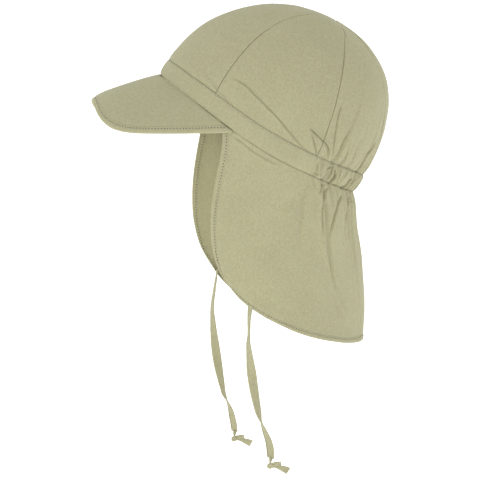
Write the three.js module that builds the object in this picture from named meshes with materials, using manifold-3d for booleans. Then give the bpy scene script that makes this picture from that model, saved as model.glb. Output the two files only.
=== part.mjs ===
// A child's legionnaire cap in soft cotton: a five-panel crown on a headband that is gathered by
// elastic at the back, a short peak, a neck flap and two knotted tape ties.
// Millimetres, +Z up, the face towards -Y and the wearer's left towards +X.
// The origin is the middle of the head opening, where the cap sits on a head that looks upward a little.
import * as THREE from 'three';
import { mergeVertices } from 'three/addons/utils/BufferGeometryUtils.js';
import Module from 'manifold-3d';

// Headband: an oval ring, tipped back on the head
const HALF_LENGTH = 90.5;
const HALF_BREADTH = 70;
const HEAD_TILT = 31.2;
const BAND_HEIGHT = 16;
const BAND_WALL = 1.6;
const BAND_PUFF = 1.7;
const SIDE_DROOP = 5.2;
const SIDE_DROOP_POWER = 4;
const FRONT_RISE = 1.5;

// Crown: height above the headband's lower edge, and how full each side of the dome is
const CROWN_HEIGHT = 110;
const CROWN_WALL = 1.2;
const APEX_SETBACK = 8.5;
const FULLNESS_FRONT = 1.87;
const FULLNESS_SIDE = 2.1;
const FULLNESS_BACK = 2.46;
const CROWN_TOP_ANGLE = 89;
const CROWN_OVERHANG = 1.5;
const CROWN_OVERHANG_HEIGHT = 20;
const CROWN_OVERHANG_BLEND = 20;

// Seams of the crown, in degrees round the head from the middle of the forehead
const FRONT_SEAM = { foot: 52.8, top: 47.5 };
const REAR_SEAM = { foot: 114.3, top: 103.5 };
const BACK_SEAM = { foot: 167, top: 151 };

// Peak: a stiffened wall with a square-cornered outline in plan, and an arched rim that rolls under
const PEAK_CORNER = 70.5;
const PEAK_REACH = 54.3;
const PEAK_WALL = 2.2;
const PEAK_SQUARENESS = 3.0;
const PEAK_ARCH = 18.5;
const PEAK_ARCH_HALF_WIDTH = 59;
const PEAK_ARCH_POINT = 1.15;
const PEAK_BOW = 0.4;
const PEAK_ROLL = 1.7;
const PEAK_ROLL_REACH = 3;
const PEAK_END = 1.2;
const PEAK_COLUMNS = 34;

// Neck flap: it hangs from the headband, tucked inside the peak at its front corners
const FLAP_CORNER = 62;
const FLAP_WALL = 1.2;
const FLAP_DROP = 172;
const FLAP_TUCK_START = 71.5;
const FLAP_TUCK_END = 81;
const FLAP_TURN_END = 0.11;
const FLAP_SWING = 1.6;
const RIGHT_SIDE_DROP = 12;
const RIGHT_SIDE_DROP_ANGLE = 80;
const RIGHT_SIDE_DROP_SPREAD = 20;

// Elastic at the back of the headband and the gathers that it makes. A valley reaches this share of
// its half width, and a crease fades out over the last quarter of its length
const ELASTIC_START = 116.5;
const ELASTIC_BLEND = 4;
const GATHER_DEPTH = 2.3;
const GATHER_PUFF = 0.9;
const VALLEY_REACH = 1.2;
const FOLD_FADE_POWER = 1.5;
const CREASE_FADE = 0.25;

// Spacing of the columns of cloth, in degrees round the head
const PLAIN_STEP = 6;
const LEAST_STEP = 0.8;

// Ties: flat sewn tape with a knot near each end
const TAPE_WIDTH = 7.5;
const TAPE_WALL = 1.2;
const TAPE_STEPS = 26;
const KNOT_LENGTH = 8;
const KNOT_BREADTH = 7;
const KNOT_DEPTH = 5;
const TAIL_LENGTH = 17;
const TAIL_NECK = 3.6;
const TAIL_TILT = 25;
const KNOT_SIDES = 12;
const KNOT_RINGS = 8;

// Clearance between pieces that meet at a seam
const SEAM_GAP = 0.3;

const CLOTH_COLOUR = 0xb1ae8a;
const CLOTH_ROUGHNESS = 0.92;

// Folds that start at the elastic, on each half of the cap. at: place along the elastic, 0 at its
// end and 1 at the middle of the back. depth: share of GATHER_DEPTH. up and down: how far the fold
// runs into the crown and the flap, as shares of CROWN_HEIGHT and FLAP_DROP
const GATHERS = [
  { at: 0.03, depth: 0.7, up: 0.18, down: 0.14 },
  { at: 0.13, depth: 1.0, up: 0.45, down: 0.75 },
  { at: 0.22, depth: 0.9, up: 0.14, down: 0.16 },
  { at: 0.31, depth: 0.6, up: 0.26, down: 0.12 },
  { at: 0.41, depth: 0.5, up: 0.12, down: 0.28 },
  { at: 0.50, depth: 1.0, up: 0.34, down: 0.34 },
  { at: 0.59, depth: 0.8, up: 0.16, down: 0.70 },
  { at: 0.70, depth: 0.8, up: 0.28, down: 0.22 },
  { at: 0.81, depth: 0.7, up: 0.20, down: 0.45 },
  { at: 0.92, depth: 0.8, up: 0.24, down: 0.25 },
];

// Creases of the crown above the headband, on each half. The angles are degrees round the head,
// the heights above the headband, width and depth are shares of CROWN_HEIGHT
const CREASES = [
  { angle: 115, height: 0.01, endAngle: 86, endHeight: 0.045, depth: 0.016, width: 0.045 },
  { angle: 88, height: 0.04, endAngle: 68, endHeight: 0.10, depth: 0.010, width: 0.045 },
  { angle: 116, height: 0.03, endAngle: 103, endHeight: 0.13, depth: 0.020, width: 0.045 },
  { angle: 53, height: 0.01, endAngle: 42, endHeight: 0.06, depth: 0.008, width: 0.035 },
];

// Front edge of the flap, from the headband (down 0) to its round corner (down 1), as a departure
// from the straight line between them: ahead in shares of HALF_LENGTH
const FLAP_FRONT_EDGE = [
  { down: 0, ahead: 0 },
  { down: 0.09, ahead: -0.014 },
  { down: 0.19, ahead: 0 },
  { down: 0.33, ahead: 0.044 },
  { down: 0.47, ahead: 0.083 },
  { down: 0.60, ahead: 0.104 },
  { down: 0.74, ahead: 0.106 },
  { down: 0.85, ahead: 0.083 },
  { down: 0.93, ahead: 0.050 },
  { down: 1, ahead: 0 },
];

// Middle of the flap's back, from the headband to the hem, as a departure from the straight line
// between them: behind in shares of HALF_LENGTH
const FLAP_BACK_LINE = [
  { down: 0, behind: 0 },
  { down: 0.1, behind: 0.021 },
  { down: 0.3, behind: 0.032 },
  { down: 0.5, behind: 0.042 },
  { down: 0.8, behind: 0.036 },
  { down: 1, behind: 0 },
];

// Hem of the flap, a row for each column of cloth, which starts at this angle on the headband.
// out and behind are shares of HALF_BREADTH and HALF_LENGTH, drop is a share of FLAP_DROP
const FLAP_HEM = [
  { angle: 62, out: 0.843, behind: -0.369, drop: 0.617 },
  { angle: 70, out: 0.886, behind: -0.234, drop: 0.706 },
  { angle: 80, out: 0.914, behind: -0.055, drop: 0.778 },
  { angle: 90, out: 0.900, behind: 0.118, drop: 0.830 },
  { angle: 100, out: 0.829, behind: 0.302, drop: 0.880 },
  { angle: 110, out: 0.714, behind: 0.492, drop: 0.921 },
  { angle: 119, out: 0.500, behind: 0.712, drop: 0.963 },
  { angle: 128, out: 0.286, behind: 0.855, drop: 0.989 },
  { angle: 150, out: 0.114, behind: 0.955, drop: 1 },
  { angle: 180, out: 0, behind: 0.990, drop: 0.996 },
];

// Ties: points down the middle of each tape, from the hem to its knot, and how far the tape is
// turned there, in degrees: at 0 its flat side faces sideways, at 90 forward
const LEFT_TIE = [
  { x: 68.2, y: -12.6, z: -118.5, turn: 66 },
  { x: 68.4, y: -13.9, z: -126, turn: 70 },
  { x: 67.4, y: -14.9, z: -137, turn: 84 },
  { x: 66, y: -15.3, z: -150, turn: 88 },
  { x: 65, y: -15.7, z: -157, turn: 74 },
  { x: 64, y: -14.2, z: -170, turn: 44 },
  { x: 63.4, y: -12.6, z: -183, turn: 8 },
  { x: 63, y: -10.6, z: -196, turn: -18 },
  { x: 63, y: -8.1, z: -209, turn: -40 },
  { x: 63, y: -6.1, z: -216, turn: -62 },
  { x: 63, y: -4.2, z: -222, turn: -92 },
  { x: 63, y: -1.7, z: -229, turn: -115 },
  { x: 63, y: 0.9, z: -236, turn: -130 },
  { x: 63, y: 2.4, z: -243, turn: -137 },
  { x: 63, y: 2.9, z: -250.8, turn: -132 },
];
const RIGHT_TIE = [
  { x: -66.4, y: -24.4, z: -119.5, turn: 100 },
  { x: -66.6, y: -25.6, z: -129, turn: 94 },
  { x: -66, y: -27.1, z: -142, turn: 88 },
  { x: -65, y: -28.6, z: -157, turn: 80 },
  { x: -64, y: -28, z: -167, turn: 66 },
  { x: -63, y: -26.8, z: -181, turn: 40 },
  { x: -62.4, y: -25.1, z: -195, turn: 12 },
  { x: -62, y: -23, z: -209, turn: -16 },
  { x: -62, y: -20.1, z: -223.5, turn: -46 },
  { x: -62, y: -18.2, z: -231, turn: -62 },
  { x: -62, y: -15.4, z: -238, turn: -88 },
  { x: -62, y: -12.8, z: -245, turn: -112 },
  { x: -62, y: -11.1, z: -252, turn: -128 },
  { x: -62, y: -9.7, z: -259.5, turn: -130 },
  { x: -62, y: -8.8, z: -266, turn: -126 },
];

const RADIANS = Math.PI / 180;
const TILT_AXIS = new THREE.Vector3(1, 0, 0);
const UP = new THREE.Vector3(0, 0, 1);
const NUDGE = 1e-4;

function clamp(value) {
  return Math.min(1, Math.max(0, value));
}

function ease(value) {
  const t = clamp(value);
  return t * t * (3 - 2 * t);
}

// A smooth curve through the rows of a table: one column read against another
function through(rows, along, column) {
  const slope = (i) => {
    const before = rows[Math.max(0, i - 1)];
    const after = rows[Math.min(rows.length - 1, i + 1)];
    return (after[column] - before[column]) / (after[along] - before[along]);
  };
  return (place) => {
    let i = 0;
    while (i < rows.length - 2 && place > rows[i + 1][along]) {
      i += 1;
    }
    const span = rows[i + 1][along] - rows[i][along];
    const t = (place - rows[i][along]) / span;
    const rise = rows[i + 1][column] - rows[i][column];
    const first = slope(i) * span - rise;
    const last = rise - slope(i + 1) * span;
    return rows[i][column] + rise * t + t * (1 - t) * (first * (1 - t) + last * t);
  };
}

// From the upright frame of the cap to the frame of the part, where the cap is tipped back
function tipped(point) {
  return point.applyAxisAngle(TILT_AXIS, -HEAD_TILT * RADIANS);
}

// The same angle counted on the left half, 0 at the forehead and 180 at the back
function halfAngle(angle) {
  return angle > 180 ? 360 - angle : Math.abs(angle);
}

function outwardOfBand(angle) {
  const a = angle * RADIANS;
  return new THREE.Vector3(Math.sin(a) / HALF_BREADTH, -Math.cos(a) / HALF_LENGTH, 0).normalize();
}

// A point of the headband's outer face, in the upright frame of the cap. Its lower edge is drawn up
// over the forehead, where the peak is sewn on
function bandPoint(angle, height, out = 0) {
  const a = angle * RADIANS;
  const droop = SIDE_DROOP * Math.sin(a) ** SIDE_DROOP_POWER;
  const rise = FRONT_RISE * (1 - height / BAND_HEIGHT) * Math.max(0, Math.cos(a));
  const level = height - droop + rise;
  const point = new THREE.Vector3(HALF_BREADTH * Math.sin(a), -HALF_LENGTH * Math.cos(a), level);
  return point.addScaledVector(outwardOfBand(angle), out);
}

const ELASTIC_SPAN = 180 - ELASTIC_START;
const FOLD_ANGLES = GATHERS.map((fold) => ELASTIC_START + fold.at * ELASTIC_SPAN);

// Half width of each fold's valley: a third of the way to its next neighbour
function valleyWidth(index) {
  const next = index + 1 < FOLD_ANGLES.length ? FOLD_ANGLES[index + 1] : 180;
  return (next - FOLD_ANGLES[index]) / 3;
}

// How far the gathers stand out (+) or in (-) at an angle, when each fold is faded by its own share
function gathered(angle, fade) {
  const place = halfAngle(angle);
  const inElastic = ease((place - ELASTIC_START) / ELASTIC_BLEND + 0.5);
  let out = GATHER_PUFF * inElastic * fade(GATHERS[0]);
  GATHERS.forEach((fold, index) => {
    const reach = VALLEY_REACH * valleyWidth(index);
    const near = clamp(1 - Math.abs(place - FOLD_ANGLES[index]) / reach);
    out -= fold.depth * (GATHER_DEPTH + GATHER_PUFF) * ease(near) * fade(fold);
  });
  return out;
}

// Angles of the columns of cloth behind the ears, three to each gather
const GATHER_COLUMNS = FOLD_ANGLES.flatMap((fold, index) => {
  const third = valleyWidth(index);
  return [fold, fold + third, fold + 2 * third];
});
const BACK_COLUMNS = [...GATHER_COLUMNS, 180, ...GATHER_COLUMNS.map((angle) => 360 - angle).reverse()];

// Angles of the columns of cloth between two seams: even steps where it is plain
function columnsBetween(from, to) {
  const angles = [from];
  const plain = (end) => {
    const start = angles[angles.length - 1];
    const steps = Math.round((end - start) / PLAIN_STEP);
    for (let i = 1; i < steps; i += 1) {
      angles.push(start + ((end - start) * i) / steps);
    }
  };
  if (from < ELASTIC_START) {
    plain(Math.min(to, ELASTIC_START));
  }
  const least = angles[angles.length - 1] + LEAST_STEP;
  angles.push(...BACK_COLUMNS.filter((angle) => angle > least && angle < to - LEAST_STEP));
  if (to > 360 - ELASTIC_START) {
    plain(to);
  }
  angles.push(to);
  return angles;
}

// A cloth wall: the outer skin is surface(u, v), and the inner one lies a wall thickness below it
function clothWall(surface, inward, columns, rows, thickness) {
  const geometry = new THREE.BoxGeometry(1, 1, 1, columns, rows, 1);
  const place = geometry.attributes.position;
  for (let k = 0; k < place.count; k += 1) {
    const column = Math.round((place.getX(k) + 0.5) * columns);
    const row = Math.round((place.getY(k) + 0.5) * rows);
    const point = surface(column, row);
    if (place.getZ(k) < 0) {
      point.addScaledVector(inward(column, row), thickness);
    }
    place.setXYZ(k, point.x, point.y, point.z);
  }
  geometry.computeVertexNormals();
  return geometry;
}

// Direction into the cloth at a point of a smooth surface, from its slopes both ways
function inwardOf(surface, u, v) {
  const ahead = surface(u + NUDGE, v).sub(surface(u - NUDGE, v));
  const above = surface(u, Math.min(1, v + NUDGE)).sub(surface(u, Math.max(0, v - NUDGE)));
  return above.cross(ahead).normalize();
}

const cloth = new THREE.MeshStandardMaterial({
  color: CLOTH_COLOUR,
  roughness: CLOTH_ROUGHNESS,
  metalness: 0,
});

function piece(name, geometry) {
  const mesh = new THREE.Mesh(geometry, cloth.clone());
  mesh.name = name;
  return mesh;
}

// Headband: one ring, plain at the front and sides and gathered along the elastic
function headband() {
  const angles = columnsBetween(0, 360).slice(0, -1);
  const section = [
    { height: 0, out: 0 },
    { height: 0.5, out: BAND_PUFF },
    { height: 1, out: 0 },
    { height: 1, out: -BAND_WALL },
    { height: 0, out: -BAND_WALL },
    { height: 0, out: 0 },
  ];
  const profile = section.map((row) => new THREE.Vector2(HALF_BREADTH + row.out, row.height));
  const geometry = new THREE.LatheGeometry(profile, angles.length);
  const place = geometry.attributes.position;
  for (let k = 0; k < place.count; k += 1) {
    const angle = angles[Math.floor(k / section.length) % angles.length];
    const row = section[k % section.length];
    const point = bandPoint(angle, row.height * BAND_HEIGHT, row.out + gathered(angle, () => 1));
    place.setXYZ(k, point.x, point.y, point.z);
  }
  geometry.computeVertexNormals();
  return piece('headband', geometry);
}

// The dome: angle round the head, climb 0 at the headband and 90 at the top, in the cap's frame
function domePoint(angle, climb) {
  const toFront = Math.cos(angle * RADIANS);
  const end = toFront > 0 ? FULLNESS_FRONT : FULLNESS_BACK;
  const fullness = FULLNESS_SIDE + (end - FULLNESS_SIDE) * Math.abs(toFront);
  const inner = Math.cos(climb * RADIANS) ** (2 / fullness);
  const risen = Math.sin(climb * RADIANS) ** (2 / fullness);
  const foot = bandPoint(angle, BAND_HEIGHT + SEAM_GAP);
  return new THREE.Vector3(
    foot.x * inner,
    APEX_SETBACK * (1 - inner) + foot.y * inner,
    foot.z * (1 - risen) + CROWN_HEIGHT * risen,
  );
}

// A seam of the crown as its angle at each climb, on the left, and mirrored to the right
function seamLine(seam) {
  return (climb) => seam.foot + (seam.top - seam.foot) * Math.sin(climb * RADIANS);
}

function mirrored(line, turn) {
  return (climb) => turn - line(climb);
}

// Depth of the crown's creases at an angle and a height above the headband
function creased(angle, height) {
  const place = halfAngle(angle);
  const degree = (HALF_BREADTH + HALF_LENGTH) * 0.5 * RADIANS;
  let depth = 0;
  for (const crease of CREASES) {
    const run = (crease.endAngle - crease.angle) * degree;
    const rise = (crease.endHeight - crease.height) * CROWN_HEIGHT;
    const across = (place - crease.angle) * degree;
    const up = height - crease.height * CROWN_HEIGHT;
    const along = clamp((across * run + up * rise) / (run * run + rise * rise));
    const off = Math.hypot(across - run * along, up - rise * along) / (crease.width * CROWN_HEIGHT);
    depth += crease.depth * CROWN_HEIGHT * Math.exp(-off * off) * ease((1 - along) / CREASE_FADE);
  }
  return depth;
}

// How far the back of the crown bulges over the elastic
function overhang(angle, height) {
  const share = height / CROWN_OVERHANG_HEIGHT;
  const behind = ease((halfAngle(angle) - ELASTIC_START) / CROWN_OVERHANG_BLEND);
  return CROWN_OVERHANG * behind * share * Math.exp(1 - share);
}

// Rows of the crown, in degrees of climb: close together where the folds are
const CROWN_CLIMBS = [0, 3, 7, 13, 21, 32, 45, 58, 70, 80, CROWN_TOP_ANGLE];

// One panel of the crown between two seams
function crownPanel(name, firstSeam, secondSeam) {
  const start = firstSeam(0);
  const end = secondSeam(0);
  const feet = columnsBetween(start, end);
  const share = feet.map((foot) => (foot - start) / (end - start));
  const smooth = (u, v) => {
    const climb = v * CROWN_TOP_ANGLE;
    const from = firstSeam(climb);
    const to = secondSeam(climb);
    const middle = domePoint((from + to) / 2, climb);
    const radius = Math.hypot(middle.x, middle.y - APEX_SETBACK);
    const inset = (SEAM_GAP / 2 / radius) / RADIANS;
    return domePoint(from + inset + (to - from - 2 * inset) * u, climb);
  };
  const inward = (column, row) => inwardOf(smooth, share[column], CROWN_CLIMBS[row] / CROWN_TOP_ANGLE);
  const outer = (column, row) => {
    const point = smooth(share[column], CROWN_CLIMBS[row] / CROWN_TOP_ANGLE);
    const rise = Math.max(0, point.z - bandPoint(feet[column], BAND_HEIGHT + SEAM_GAP).z);
    const fade = (fold) => Math.exp(-((rise / (fold.up * CROWN_HEIGHT)) ** FOLD_FADE_POWER));
    const out = gathered(feet[column], fade) + overhang(feet[column], rise) - creased(feet[column], rise);
    return point.addScaledVector(inward(column, row), -out);
  };
  return piece(name, clothWall(outer, inward, feet.length - 1, CROWN_CLIMBS.length - 1, CROWN_WALL));
}

// Rim of the peak in the frame of the part: share -1 at its right corner, 1 at its left
function peakRim(share) {
  const corner = tipped(bandPoint(PEAK_CORNER, -SEAM_GAP));
  const front = tipped(bandPoint(0, -SEAM_GAP));
  const depth = corner.y - front.y + PEAK_REACH;
  const turn = share * 90 * RADIANS;
  const across = Math.abs(Math.sin(turn)) / corner.x;
  const ahead = Math.abs(Math.cos(turn)) / depth;
  const radius = (across ** PEAK_SQUARENESS + ahead ** PEAK_SQUARENESS) ** (-1 / PEAK_SQUARENESS);
  const x = radius * Math.sin(turn);
  const along = clamp(Math.abs(x) / PEAK_ARCH_HALF_WIDTH) ** PEAK_ARCH_POINT;
  const lift = PEAK_ARCH * (0.5 + 0.5 * Math.cos(Math.PI * along));
  return new THREE.Vector3(x, corner.y - radius * Math.cos(turn), corner.z - PEAK_END + lift);
}

// Rows of the peak, as shares of the way from its rim to the headband: close together at the rim
const PEAK_DEPTHS = [0, 0.04, 0.12, 0.3, 0.55, 0.8, 1];

// Peak: it spans from its rim (v = 0) to the headband's lower edge (v = 1), a little bowed upward
function peak() {
  const surface = (u, v) => {
    const share = 2 * u - 1;
    const seam = tipped(bandPoint(PEAK_CORNER * share, -SEAM_GAP));
    const rim = peakRim(share);
    const depth = seam.distanceTo(rim);
    const bow = (PEAK_BOW * depth / PEAK_REACH) * 4 * v * (1 - v);
    const roll = PEAK_ROLL * (1 - v) * (1 - Math.exp(-depth * v / PEAK_ROLL_REACH));
    return rim.lerp(seam, v).addScaledVector(UP, bow + roll);
  };
  const outer = (column, row) => surface(column / PEAK_COLUMNS, PEAK_DEPTHS[row]);
  const inward = (column, row) => inwardOf(surface, column / PEAK_COLUMNS, PEAK_DEPTHS[row]);
  return piece('peak', clothWall(outer, inward, PEAK_COLUMNS, PEAK_DEPTHS.length - 1, PEAK_WALL));
}

const hemOut = through(FLAP_HEM, 'angle', 'out');
const hemBehind = through(FLAP_HEM, 'angle', 'behind');
const hemDrop = through(FLAP_HEM, 'angle', 'drop');
const edgeAhead = through(FLAP_FRONT_EDGE, 'down', 'ahead');
const backBehind = through(FLAP_BACK_LINE, 'down', 'behind');

function hemPoint(place) {
  return new THREE.Vector3(
    hemOut(place) * HALF_BREADTH,
    hemBehind(place) * HALF_LENGTH,
    -hemDrop(place) * FLAP_DROP,
  );
}

// Top edge of the flap: under the headband, and inside the peak where that one covers it
function flapTop(place) {
  const tuck = PEAK_WALL + 2 * SEAM_GAP;
  const covered = 1 - ease((place - FLAP_TUCK_START) / (FLAP_TUCK_END - FLAP_TUCK_START));
  return tipped(bandPoint(place, -SEAM_GAP, -tuck * covered));
}

// The flap without its folds, on the left half: the angle of the column, and down 0 to 1
function flapHalf(place, down) {
  const across = (place - FLAP_CORNER) / (180 - FLAP_CORNER);
  const spread = down ** FLAP_SWING;
  const top = flapTop(place);
  const hem = hemPoint(place);
  const topFront = flapTop(FLAP_CORNER);
  const topBack = flapTop(180);
  const hemFront = hemPoint(FLAP_CORNER);
  const hemBack = hemPoint(180);
  const blend = (a, b, share) => a + (b - a) * share;
  const edge = (axis, start, end, shift) => blend(start[axis], end[axis], down) + shift;
  const frontShift = -edgeAhead(down) * HALF_LENGTH;
  const backShift = backBehind(down) * HALF_LENGTH;
  const patch = (axis, share, shiftFront, shiftBack) => {
    const lengthwise = blend(top[axis], hem[axis], share);
    const front = edge(axis, topFront, hemFront, shiftFront);
    const back = edge(axis, topBack, hemBack, shiftBack);
    const cornersFront = blend(topFront[axis], hemFront[axis], share);
    const cornersBack = blend(topBack[axis], hemBack[axis], share);
    return lengthwise + blend(front - cornersFront, back - cornersBack, across);
  };
  return new THREE.Vector3(
    patch('x', spread, 0, 0),
    patch('y', spread, frontShift, backShift),
    patch('z', down, 0, 0),
  );
}

// The smooth flap at an angle of 62 to 298 degrees, with its right side hanging a little lower
function flapSmooth(angle, down) {
  const place = halfAngle(angle);
  const point = flapHalf(place, down);
  if (angle > 180) {
    const off = (place - RIGHT_SIDE_DROP_ANGLE) / RIGHT_SIDE_DROP_SPREAD;
    point.x = -point.x;
    point.z -= RIGHT_SIDE_DROP * down * down * Math.exp(-off * off);
  }
  return point;
}

// Rows of the flap, as shares of the way down: close together under the gathers
const FLAP_ROWS = [1, 0.9, 0.78, 0.65, 0.52, 0.4, 0.29, 0.19, 0.11, 0.05, 0];

// Neck flap: one wall from corner to corner, gathered under the elastic
function neckFlap() {
  const angles = columnsBetween(FLAP_CORNER, 360 - FLAP_CORNER);
  const first = angles[0];
  const span = angles[angles.length - 1] - first;
  const smooth = (u, v) => flapSmooth(first + span * u, 1 - v);
  const inward = (column, row) => {
    const down = FLAP_ROWS[row];
    const level = tipped(outwardOfBand(angles[column])).negate();
    const facing = inwardOf(smooth, (angles[column] - first) / span, 1 - down);
    return level.lerp(facing, ease(down / FLAP_TURN_END)).normalize();
  };
  const outer = (column, row) => {
    const down = FLAP_ROWS[row];
    const fade = (fold) => Math.exp(-((down / fold.down) ** 2));
    const out = gathered(angles[column], fade);
    return flapSmooth(angles[column], down).addScaledVector(inward(column, row), -out);
  };
  return piece('neck_flap', clothWall(outer, inward, angles.length - 1, FLAP_ROWS.length - 1, FLAP_WALL));
}

// The line of a tie, which also says how its flat tape is turned along the way
class TapePath extends THREE.CatmullRomCurve3 {
  constructor(rows) {
    super(rows.map((row) => new THREE.Vector3(row.x, row.y, row.z)), false, 'centripetal');
    this.rows = rows;
  }

  turnAt(share) {
    const place = this.getUtoTmapping(share) * (this.rows.length - 1);
    const i = Math.min(this.rows.length - 2, Math.floor(place));
    return this.rows[i].turn + (this.rows[i + 1].turn - this.rows[i].turn) * (place - i);
  }

  computeFrenetFrames(segments) {
    const tangents = [];
    const normals = [];
    const binormals = [];
    for (let i = 0; i <= segments; i += 1) {
      const tangent = this.getTangentAt(i / segments);
      const turn = this.turnAt(i / segments) * RADIANS;
      const across = new THREE.Vector3(Math.sin(turn), Math.cos(turn), 0);
      const normal = across.addScaledVector(tangent, -across.dot(tangent)).normalize();
      tangents.push(tangent);
      normals.push(normal);
      binormals.push(tangent.clone().cross(normal));
    }
    return { tangents, normals, binormals };
  }
}

// Section of the tape: flat, with its two edges cut to a chamfer
function tapeSection() {
  const side = TAPE_WIDTH / 2;
  const face = TAPE_WALL / 2;
  const edge = face / 2;
  const section = new THREE.Shape();
  section.moveTo(side, -edge);
  section.lineTo(side, edge);
  section.lineTo(side - face, face);
  section.lineTo(face - side, face);
  section.lineTo(-side, edge);
  section.lineTo(-side, -edge);
  section.lineTo(face - side, -face);
  section.lineTo(side - face, -face);
  return section;
}

function tie(name, rows) {
  const path = new TapePath(rows);
  return piece(name, new THREE.ExtrudeGeometry(tapeSection(), { extrudePath: path, steps: TAPE_STEPS }));
}

const wasm = await Module();
wasm.setup();

// A closed shape as a solid that can be joined to another
function solid(geometry) {
  const bare = geometry.clone();
  bare.deleteAttribute('normal');
  bare.deleteAttribute('uv');
  const merged = mergeVertices(bare);
  return new wasm.Manifold(new wasm.Mesh({
    numProp: 3,
    vertProperties: new Float32Array(merged.attributes.position.array),
    triVerts: new Uint32Array(merged.index.array),
  }));
}

// The joined solid as a shape again
function shapeOf(body) {
  const mesh = body.getMesh();
  const geometry = new THREE.BufferGeometry();
  geometry.setAttribute('position', new THREE.BufferAttribute(new Float32Array(mesh.vertProperties), 3));
  geometry.setIndex([...mesh.triVerts]);
  geometry.computeVertexNormals();
  return geometry;
}

// Knot of a tie: the wrapped lump under the tape's end, and the flared tail that comes out behind it
function tieKnot(name, rows) {
  const end = rows[rows.length - 1];
  const lump = new THREE.SphereGeometry(0.5, KNOT_SIDES, KNOT_RINGS);
  lump.scale(KNOT_DEPTH, KNOT_BREADTH, KNOT_LENGTH);
  const outline = new THREE.Shape();
  outline.moveTo(0, -TAIL_NECK / 2);
  outline.lineTo(TAIL_LENGTH, -TAPE_WIDTH / 2);
  outline.lineTo(TAIL_LENGTH + TAPE_WALL, TAPE_WIDTH / 2);
  outline.lineTo(0, TAIL_NECK / 2);
  const tail = new THREE.ExtrudeGeometry(outline, { depth: TAPE_WALL, bevelEnabled: false });
  tail.translate(0, 0, -TAPE_WALL / 2);
  tail.rotateX(-Math.PI / 2);
  tail.rotateZ(Math.PI / 2);
  tail.rotateX(-TAIL_TILT * RADIANS);
  const joined = shapeOf(solid(lump).add(solid(tail)));
  const mesh = piece(name, joined);
  mesh.position.set(end.x, end.y, end.z - KNOT_LENGTH / 2 - SEAM_GAP);
  return mesh;
}

const tiltedCap = new THREE.Group();
tiltedCap.rotation.x = -HEAD_TILT * RADIANS;
const frontSeam = seamLine(FRONT_SEAM);
const rearSeam = seamLine(REAR_SEAM);
const backSeam = seamLine(BACK_SEAM);
tiltedCap.add(
  crownPanel('crown_front_panel', mirrored(frontSeam, 0), frontSeam),
  crownPanel('crown_side_panel_left', frontSeam, rearSeam),
  crownPanel('crown_back_panel_left', rearSeam, backSeam),
  crownPanel('crown_back_panel_right', backSeam, mirrored(rearSeam, 360)),
  crownPanel('crown_side_panel_right', mirrored(rearSeam, 360), mirrored(frontSeam, 360)),
  headband(),
);

const cap = new THREE.Group();
cap.name = 'legionnaire_cap';
cap.add(
  tiltedCap,
  peak(),
  neckFlap(),
  tie('tie_left', LEFT_TIE),
  tie('tie_right', RIGHT_TIE),
  tieKnot('tie_knot_left', LEFT_TIE),
  tieKnot('tie_knot_right', RIGHT_TIE),
);

export default cap;
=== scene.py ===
"""A child's legionnaire cap in soft cotton: cloth panels, headband, peak, neck flap, ties and stitching."""

import math

import bmesh
import bpy
import numpy as np
from mathutils import Matrix, Vector


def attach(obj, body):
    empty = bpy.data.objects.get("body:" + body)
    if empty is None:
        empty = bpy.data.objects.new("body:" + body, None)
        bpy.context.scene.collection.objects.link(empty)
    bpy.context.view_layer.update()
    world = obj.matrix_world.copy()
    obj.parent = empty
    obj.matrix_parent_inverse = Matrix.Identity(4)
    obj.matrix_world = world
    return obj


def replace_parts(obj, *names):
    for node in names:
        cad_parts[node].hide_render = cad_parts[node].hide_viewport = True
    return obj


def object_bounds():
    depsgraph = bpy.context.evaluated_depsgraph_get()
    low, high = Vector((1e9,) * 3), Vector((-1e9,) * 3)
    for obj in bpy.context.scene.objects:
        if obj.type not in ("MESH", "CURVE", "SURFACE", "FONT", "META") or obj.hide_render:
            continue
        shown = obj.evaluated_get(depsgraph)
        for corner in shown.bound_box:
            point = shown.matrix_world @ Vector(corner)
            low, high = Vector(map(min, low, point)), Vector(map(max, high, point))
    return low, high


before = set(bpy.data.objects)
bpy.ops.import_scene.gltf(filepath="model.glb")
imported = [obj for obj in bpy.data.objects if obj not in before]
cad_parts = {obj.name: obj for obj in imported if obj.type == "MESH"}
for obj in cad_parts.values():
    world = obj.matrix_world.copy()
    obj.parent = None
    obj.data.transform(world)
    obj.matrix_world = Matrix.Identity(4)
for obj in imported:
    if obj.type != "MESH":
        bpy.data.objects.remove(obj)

bl_info = {
    "name": "Legionnaire cap",
    "version": (1, 0, 0),
    "blender": (4, 5, 0),
    "location": "3D View > Sidebar > Cap",
    "description": "Builds a child's cotton cap with a peak, a neck flap and knotted ties",
    "category": "Add Mesh",
}

CAD_BOX = [list(map(float, corner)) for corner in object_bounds()]

# Angles are in degrees round the head, 0 at the forehead, 90 at the left ear and 180 at the back.
# Lengths are in metres, and the tables hold shares of the named sizes.

# Headband
BAND_PUFF = 0.0017
SIDE_DROOP = 0.0052
SIDE_DROOP_POWER = 4
FRONT_RISE = 0.0022
SEAM_GAP = 0.00005
BAND_MEETING = 0.006

# Crown
APEX_SETBACK = 0.0085
FULLNESS_FRONT = 1.89
FULLNESS_SIDE = 2.1
FULLNESS_BACK = 2.46
CROWN_TOP_ANGLE = 89
CROWN_OVERHANG = 0.0015
CROWN_OVERHANG_HEIGHT = 0.020
CROWN_OVERHANG_BLEND = 20
FRONT_SEAM = (52.8, 47.5)
REAR_SEAM = (114.3, 103.5)
BACK_SEAM = (163, 146)

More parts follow.
